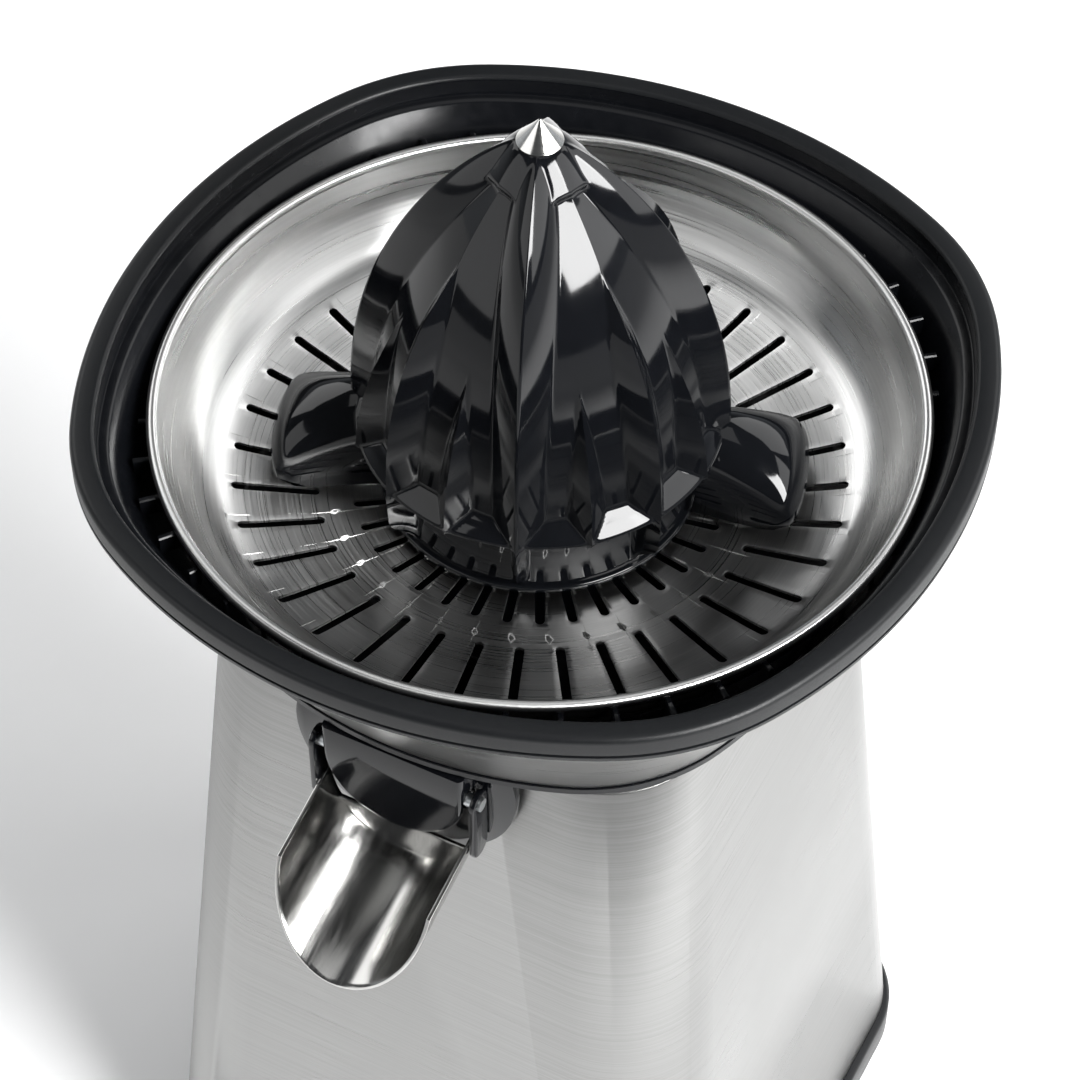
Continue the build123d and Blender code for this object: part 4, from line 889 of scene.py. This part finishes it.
class JUICER_OT_spout(bpy.types.Operator):
    """Nozzle under the drain, gutter and cheeks"""

    bl_idname = "juicer.spout"
    bl_label = "Spout"

    def execute(self, context):
        sizes = context.scene.juicer_spout
        gloss, polished = materials_of("gloss_black", "polished_stainless")
        pivot = middle("spout_pivots")
        nozzle = smooth_copy("outlet_nozzle", "outlet_nozzle_moulded", gloss, 0.5 * MM)
        flange = pivot.z - low("outlet_nozzle").z - 2.0 * MM
        for vertex in nozzle.data.vertices:
            across, deep = vertex.co.x, vertex.co.z - pivot.z
            wide = hypot(across, deep)
            # The flange's edge moves out, so that no bright sleeve shows between it and the gutter
            if wide > flange:
                vertex.co.x += across / wide * sizes.flange_lip
                vertex.co.z += min(deep, 0.0) / wide * sizes.flange_lip
        settle(nozzle, "bowl", "gloss_black", "outlet_nozzle")
        cheeks = smooth_copy("spout_cheeks", "spout_cheeks_moulded", gloss, 0.4 * MM)
        settle(cheeks, "spout", "gloss_black", "spout_cheeks")

        s, c = sin(sizes.slope), cos(sizes.slope)
        outer = sizes.radius + sizes.sheet
        columns, rows = 48, 26

        def point(radius, share, along):
            """Point of the half pipe: share runs across it from -1 to 1, along runs down it from 0 to 1."""
            angle = share * pi / 2
            start = (outer * cos(angle) * s - sizes.root) / c
            reach = sizes.run - sizes.tongue * (1 - cos(angle))
            t = start + along * (reach - start)
            deep = radius * cos(angle)
            level = pivot.z - sizes.drop - deep * c - t * s
            return (radius * sin(angle), pivot.y + deep * s - t * c, level)

        points = [
            point(radius, 2 * step / columns - 1, row / rows)
            for radius in (outer, sizes.radius) for row in range(rows + 1) for step in range(columns + 1)
        ]
        wide = columns + 1
        layer = wide * (rows + 1)
        faces = []
        for side in (0, layer):
            for row in range(rows):
                for step in range(columns):
                    corner = side + row * wide + step
                    faces.append((corner, corner + 1, corner + wide + 1, corner + wide))
        edge = list(range(wide)) + [row * wide + columns for row in range(1, rows + 1)]
        edge += [rows * wide + step for step in range(columns - 1, -1, -1)]
        edge += [row * wide for row in range(rows - 1, 0, -1)]
        for here, there in zip(edge, edge[1:] + edge[:1]):
            faces.append((here, there, there + layer, here + layer))
        # An upright wall closes the gutter's root, up to a level edge
        centre = pivot.z - sizes.drop + sizes.root * s / c
        radius = sizes.radius + sizes.sheet / 2
        spread = acos((centre - pivot.z + sizes.back_drop) * c / radius)
        inset, half_steps = 0.05 * MM, 16
        angles = [spread * (n / half_steps - 1) for n in range(2 * half_steps + 1)]
        plate = [
            [(radius * sin(a), pivot.y + sizes.root - deep, centre - radius * cos(a) / c) for a in angles]
            for deep in (inset, inset + sizes.sheet)
        ]
        extend((points, faces), skin(plate, caps=(True, True)))
        gutter = make_object("spout_gutter_pressed", points, faces, [polished])
        soften(gutter, 0.22 * MM, 50)
        bake(gutter, 40)
        settle(gutter, "spout", "polished_stainless", "spout_gutter")
        return {"FINISHED"}


class JUICER_OT_strainer(bpy.types.Operator):
    """Spun strainer dish with two rings of slots"""

    bl_idname = "juicer.strainer"
    bl_label = "Strainer"

    def execute(self, context):
        sizes = context.scene.juicer_strainer
        (steel,) = materials_of("spun_stainless")
        rim, radius = high("strainer_dish").z, high("strainer_dish").x
        bead = radius - sizes.bead
        head = bead - sizes.bead / 2
        # Radius and drop below the rim, in millimetres, from the hole to the bead
        places = [17.0, 29.0, 41.25, 51.0, 61.0, 64.9, 68.25, 71.2, head / MM]
        drops = [24.5, 23.9, 23.0, 21.2, 18.8, 16.4, 12.6, 7.6, sizes.bead / MM]
        height = blend_curve([p * MM for p in places], [rim - d * MM for d in drops])

        # One sector holds a long and a short slot: the flat part is a net around them
        pitch = tau / sizes.slot_count
        first = -0.25 * pitch
        columns, rows, rises = 8, 28, 16
        headings = [first + pitch * column / columns for column in range(columns + 1)]
        bend = 61.5 * MM
        half, clear = sizes.slot_width / 2, 0.35 * MM
        side_steps, end_steps = 8, 10
        slots = []
        # Heading of a slot, and its two ends as shares of the dish's radius
        for heading, inner, outer in ((0.0, 0.573, 0.8), (pitch / 2, 0.36, 0.49)):
            near, far = inner * radius + half, outer * radius - half
            line = [(near + (far - near) * n / side_steps, -half) for n in range(side_steps + 1)]
            line += arc(half, (far, 0.0), -pi / 2, pi, end_steps)[1:]
            line += [(far + (near - far) * n / side_steps, half) for n in range(1, side_steps + 1)]
            line += arc(half, (near, 0.0), pi / 2, pi, end_steps)[1:-1]
            slots.append((heading, near, far, line))

        def inside(spot, margin):
            """Whether a spot lies in a slot or within a margin of one."""
            for heading, near, far, _ in slots:
                along = spot.x * cos(heading) + spot.y * sin(heading)
                aside = spot.y * cos(heading) - spot.x * sin(heading)
                if hypot(along - min(max(along, near), far), aside) < half + margin:
                    return True
            return False

        flat, edges = [], []
        for heading, _, _, line in slots:
            start, s, c = len(flat), sin(heading), cos(heading)
            flat += [Vector((x * c - y * s, x * s + y * c)) for x, y in line]
            edges += [(start + n, start + (n + 1) % len(line)) for n in range(len(line))]
        for row in range(rows + 1):
            reach = sizes.hole + (bend - sizes.hole) * row / rows
            for column, angle in enumerate(headings):
                spot = Vector((reach * cos(angle), reach * sin(angle)))
                if column in (0, columns) or not inside(spot, clear):
                    flat.append(spot)
        spots, _, cells, *_ = delaunay_2d_cdt(flat, edges, [], 0, 1e-7)
        kept = []
        for cell in cells:
            centre = sum((spots[n] for n in cell), Vector((0, 0))) / len(cell)
            in_sector = centre.length > sizes.hole and first < atan2(centre.y, centre.x) < first + pitch
            if in_sector and not inside(centre, 0):
                kept.append(tuple(cell))
        points = [(p.x, p.y, height(p.length)) for p in spots]
        start = len(points)
        for row in range(rises + 1):
            reach = bend + (head - bend) * (1 - (1 - row / rises) ** 2)
            points += [(reach * cos(angle), reach * sin(angle), height(reach)) for angle in headings]
        for row in range(rises):
            for column in range(columns):
                corner = start + row * (columns + 1) + column
                kept.append((corner, corner + columns + 1, corner + columns + 2, corner + 1))
        unit = make_object("slot sector", points, kept, [steel])
        for face in unit.data.polygons:
            if face.normal.z < 0:
                face.flip()
        # Points next to the axis turn the sectors and leave them in their place
        near_axis = 1e-6
        turns = [sizes.slot_turn + pitch * n for n in range(sizes.slot_count)]
        dish = make_object("strainer_dish_spun", [], [], [])
        dish.data.from_pydata([(near_axis * cos(a), near_axis * sin(a), 0) for a in turns], [], [])
        repeat(dish, unit, near_axis - 1.0, steel)
        thick = dish.modifiers.new("sheet", "SOLIDIFY")
        thick.thickness, thick.offset = sizes.sheet, -1.0
        soften(dish, 0.16 * MM, 50)
        bake(dish)
        roll = arc(sizes.bead, (bead, rim - sizes.bead), steps=20)
        bead_ring = make_object("rim bead", *skin(turned_rings(roll, 288), loop=True), [steel])
        shape = bmesh.new()
        shape.from_mesh(dish.data)
        shape.from_mesh(bead_ring.data)
        shape.to_mesh(dish.data)
        shape.free()
        bpy.data.objects.remove(bead_ring)
        shade(dish, 40)
        settle(dish, "strainer", "polished_stainless", "strainer_dish")
        return {"FINISHED"}


class JUICER_OT_reamer(bpy.types.Operator):
    """Ribbed cone with its skirt, paddles and steel tip"""

    bl_idname = "juicer.reamer"
    bl_label = "Reamer"

    def execute(self, context):
        sizes = context.scene.juicer_reamer
        gloss, turned = materials_of("gloss_black", "turned_stainless")
        foot, crown = low("reamer_cone").z, high("reamer_cone").z
        shoulder = crown - sizes.cone_height
        skirt_height = shoulder - foot
        # Millimetres inside the crest line, by the share of the cone's height: the smooth crown above the
        # panels, the panels, and the tops of the second and third sets of ribs
        cap = blend_curve((0.0, 0.8, 0.88, 0.92, 0.96, 1.0), (3.9, 3.9, 3.7, 3.2, 1.9, 0.2))
        deep = blend_curve(
            (0.0, 0.02, 0.055, 0.3, 0.5, 0.68, 0.8, 0.88, 0.92, 0.95, 1.0),
            (0.9, 2.2, 4.3, 4.7, 5.1, 5.3, 5.2, 4.9, 4.3, 2.6, 0.5),
        )
        second = blend_curve((0.0, 0.26, 0.42, 0.56, 0.7, 1.0), (0.0, 0.15, 0.8, 2.3, 5.0, 10.5))
        third = blend_curve((0.0, 0.12, 0.25, 0.45, 1.0), (0.3, 1.0, 2.4, 5.3, 12.0))
        skirt_rise = blend_curve((0.0, 0.15, 0.55, 1.0), (0.0, 0.12, 0.94, 1.0))
        count, rows, skirt_rows, lip_rows = 480, 140, 12, 7
        # The crest line's curve, the arches over the panels in shares of the cone's height, and the hollow
        # beside a long rib: its depth in millimetres, the share where it is full, and its place in degrees
        bow, closing, crest_end = 2.1, 0.67, 0.98
        arch_top, arch_fall, arch_soft = 0.92, 0.03, 0.025
        hollow_deep, hollow_full, hollow_middle, hollow_half = 0.6, 0.06, 27, 18
        rib_soft, skirt_rib = 0.25 * MM, 1.5 * MM
        lip, lip_low = 2.2 * MM, shoulder - 3 * MM
        lip_bow, lip_least, lip_more = 0.8, 0.45, 0.75

        def off_rib(step, pitch):
            """Degrees from a step to the nearest of the ribs that stand a pitch apart."""
            return abs((step * 360 / count + pitch / 2) % pitch - pitch / 2)

        def soft_most(first, other, ease):
            """The larger of two values, with a smooth change from one to the other."""
            gap = max(ease - abs(first - other), 0.0) / ease
            return max(first, other) + gap * gap * ease / 4

        def cone_radius(share, step):
            """Radius of the cone at a share of its height: arched panels between sharp ribs."""
            aside = off_rib(step, 90)
            crest = sizes.radius * (1 - (crest_end * share) ** bow) ** closing
            arch = arch_top - arch_fall * ((45 - aside) / 45) ** 2
            panel = min(1.0, max(0.0, (arch - share) / arch_soft))
            panel *= panel * (3 - 2 * panel)
            hollow = hollow_deep * min(1.0, share / hollow_full)
            hollow *= max(0.0, 1 - ((aside - hollow_middle) / hollow_half) ** 2)
            best = crest - (cap(share) + panel * (deep(share) + hollow - cap(share))) * MM
            for offset, drop, slope in (
                (aside, 0.0, 0.8), (45 - aside, second(share), 1.0), (abs(aside - 22.5), third(share), 1.0)
            ):
                best = soft_most(best, crest - drop * MM - slope * radians(offset) * crest, rib_soft)
            return min(best, crest)

        def skirt_radius(level, step):
            """Radius of the skirt at a level, with eight ribs that run out towards its foot."""
            rise = skirt_rise((level - foot) / skirt_height) * (sizes.radius - sizes.skirt_radius)
            aside = radians(off_rib(step, 45)) * sizes.skirt_radius
            return sizes.skirt_radius + rise * max(0.0, 1 - aside / skirt_rib)

        def tooth(step):
            """One on each rib of the shoulder, nought between two ribs."""
            return 1 - (off_rib(step, 22.5) / 11.25) ** 0.8

        def hexagon(step):
            """Radius of the socket for the spindle."""
            return sizes.socket_flats / cos((step * tau / count) % (pi / 3) - pi / 6)

        def ring_of(radius_at, level_at):
            """Ring of points from the radius and the level at each step."""
            ring = []
            for step in range(count):
                angle = sizes.turned + tau * step / count
                radius = radius_at(step)
                ring.append((radius * cos(angle), radius * sin(angle), level_at(step)))
            return ring

        rings = []
        for row in range(rows + 1):
            share = 1 - row / rows
            level = shoulder + share * sizes.cone_height
            rings.append(ring_of(lambda n: cone_radius(share, n), lambda n: level))
        for row in range(1, lip_rows + 1):
            angle = pi / 2 * row / lip_rows

            def lip_radius(step):
                inner = skirt_radius(lip_low, step)
                return inner + (cone_radius(0.0, step) - inner) * cos(angle) ** lip_bow

            def lip_level(step):
                return shoulder - lip * sin(angle) * (lip_least + lip_more * tooth(step))

            rings.append(ring_of(lip_radius, lip_level))
        flange_top = foot + 1.5 * MM
        for row in range(1, skirt_rows + 1):
            level = lip_low - (lip_low - flange_top) * row / skirt_rows
            rings.append(ring_of(lambda n: skirt_radius(level, n), lambda n: level))
        # Flange at the foot, the hollow inside, and the socket with its hexagon
        flange = sizes.skirt_radius + 1.0 * MM
        bore, socket = sizes.skirt_radius - sizes.wall, sizes.socket
        mouth, roof_level = foot + 4.7 * MM, foot + 54 * MM
        for radius, level in (
            (flange - 0.3 * MM, flange_top), (flange, foot + 1.2 * MM), (flange, foot + 0.3 * MM),
            (flange - 0.3 * MM, foot), (bore + 0.3 * MM, foot), (bore, foot + 0.3 * MM),
            (bore, foot + 36 * MM), (15 * MM, roof_level), (socket, roof_level),
            (socket, mouth + 0.4 * MM), (socket - 0.4 * MM, mouth),
        ):
            rings.append(ring_of(lambda n: radius, lambda n: level))
        for level in (mouth, mouth + 32 * MM):
            rings.append(ring_of(hexagon, lambda n: level))
        shape = skin(rings, caps=(True, True))

        # Two paddles: domed wings that follow the dish; the roof's drops are millimetres below the rim.
        # Towards its sides, a paddle's dome sinks to a tenth and its end draws in to 0.84 of its length
        inner, full, lid = 28.4 * MM, sizes.paddle_reach, high("strainer_dish").z
        roof = blend_curve((inner, 0.036, 0.042, 0.047, 0.0502, full), (1.5, 2.0, 3.6, 6.0, 8.8, 13.2))
        eaves, slices, roof_steps = 14.2, 32, 18
        for half_turn in (0.0, pi):
            sections = []
            for n in range(slices + 1):
                across = 2 * n / slices - 1
                share = abs(across)
                dome = 0.1 + 0.9 * max(0.0, 1 - share**2.3) ** 0.55
                reach = inner + (full - inner) * (0.84 + 0.16 * max(0.0, 1 - share**4) ** 0.25)
                loop = [(inner, foot + 1.5 * MM), (reach - 3 * MM, foot + 2.5 * MM), (reach, foot + 5 * MM)]
                for k in range(roof_steps + 1):
                    along = 1 - (k / roof_steps) ** 1.6
                    drop = eaves + (roof(inner + along * (full - inner)) - eaves) * dome
                    loop.append((inner + along * (reach - inner), lid - drop * MM))
                angle = sizes.turned + half_turn + across * sizes.paddle_half
                sections.append([(x * cos(angle), x * sin(angle), z) for x, z in loop])
            extend(shape, skin(sections, caps=(True, True)))
        cone = make_object("reamer_cone_moulded", *shape, [gloss], smooth_angle=84)
        settle(cone, "reamer", "gloss_black", "reamer_cone")

        base, peak = crown + HAIR, high("reamer_tip").z
        wide, stem, ease, blunt = sizes.tip_radius, 2.0 * MM, 0.2 * MM, 0.35 * MM
        profile = [(stem, low("reamer_tip").z), (stem, base), (wide - ease, base), (wide, base + ease)]
        for t in (0.2, 0.4, 0.6, 0.8, 0.95):
            profile.append((wide * (1 - t) ** 1.05 + blunt * t, base + ease + (peak - base - blunt) * t))
        profile += [(0.25 * MM, peak - 0.03 * MM), (0.05 * MM, peak)]
        shape = skin(turned_rings(profile, 64), caps=(True, True))
        tip = make_object("reamer_tip_turned", *shape, [turned])
        settle(tip, "reamer", "polished_stainless", "reamer_tip")
        return {"FINISHED"}


class JUICER_OT_works(bpy.types.Operator):
    """Finishes of the motor, the gears, the switch and the other pieces that keep their solids' meshes"""

    bl_idname = "juicer.works"
    bl_label = "Works"

    def execute(self, context):
        for row in frame["record"]["subparts"]:
            piece = frame["nodes"][row["node"]]
            piece.data.materials.clear()
            piece.data.materials.append(materials_of(row["material_slot"])[0])
        (wire,) = materials_of("spring_steel")
        spring = smooth_copy("return_spring", "return_spring_wound", wire, 0.0)
        settle(spring, "base", "spring_steel", "return_spring")
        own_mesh(spring)
        return {"FINISHED"}


class JUICER_PT_panel(bpy.types.Panel):
    """Lists the steps that dress the juicer"""

    bl_idname = "JUICER_PT_panel"
    bl_label = "Juicer"
    bl_space_type = "VIEW_3D"
    bl_region_type = "UI"
    bl_category = "Juicer"

    def draw(self, context):
        for step in STEPS:
            self.layout.operator(step.bl_idname)
        for name, group in SIZES.items():
            box = self.layout.box()
            box.label(text=group.__doc__)
            for key in group.__annotations__:
                box.prop(getattr(context.scene, name), key)


SIZES = {
    "juicer_colours": FinishColours,
    "juicer_stage": StageSizes,
    "juicer_housing": HousingSizes,
    "juicer_bowl": BowlSizes,
    "juicer_spout": SpoutSizes,
    "juicer_strainer": StrainerSizes,
    "juicer_reamer": ReamerSizes,
}
STEPS = (
    JUICER_OT_stage,
    JUICER_OT_works,
    JUICER_OT_housing,
    JUICER_OT_bowl,
    JUICER_OT_spout,
    JUICER_OT_strainer,
    JUICER_OT_reamer,
)


def register():
    for group in SIZES.values():
        bpy.utils.register_class(group)
    for step in STEPS:
        bpy.utils.register_class(step)
    bpy.utils.register_class(JUICER_PT_panel)
    for name, group in SIZES.items():
        setattr(bpy.types.Scene, name, bpy.props.PointerProperty(type=group))


def unregister():
    for name in SIZES:
        delattr(bpy.types.Scene, name)
    for made in (JUICER_PT_panel, *STEPS, *SIZES.values()):
        bpy.utils.unregister_class(made)


def main():
    """Registers the steps, makes the finishes and runs the steps in order."""
    register()
    scene = bpy.context.scene
    made = make_finishes(scene.juicer_colours)
    scene["juicer_finish_names"] = {slot: finish.name for slot, finish in made.items()}
    for step in STEPS:
        group, name = step.bl_idname.split(".")
        getattr(getattr(bpy.ops, group), name)()


if __name__ == "__main__":
    main()
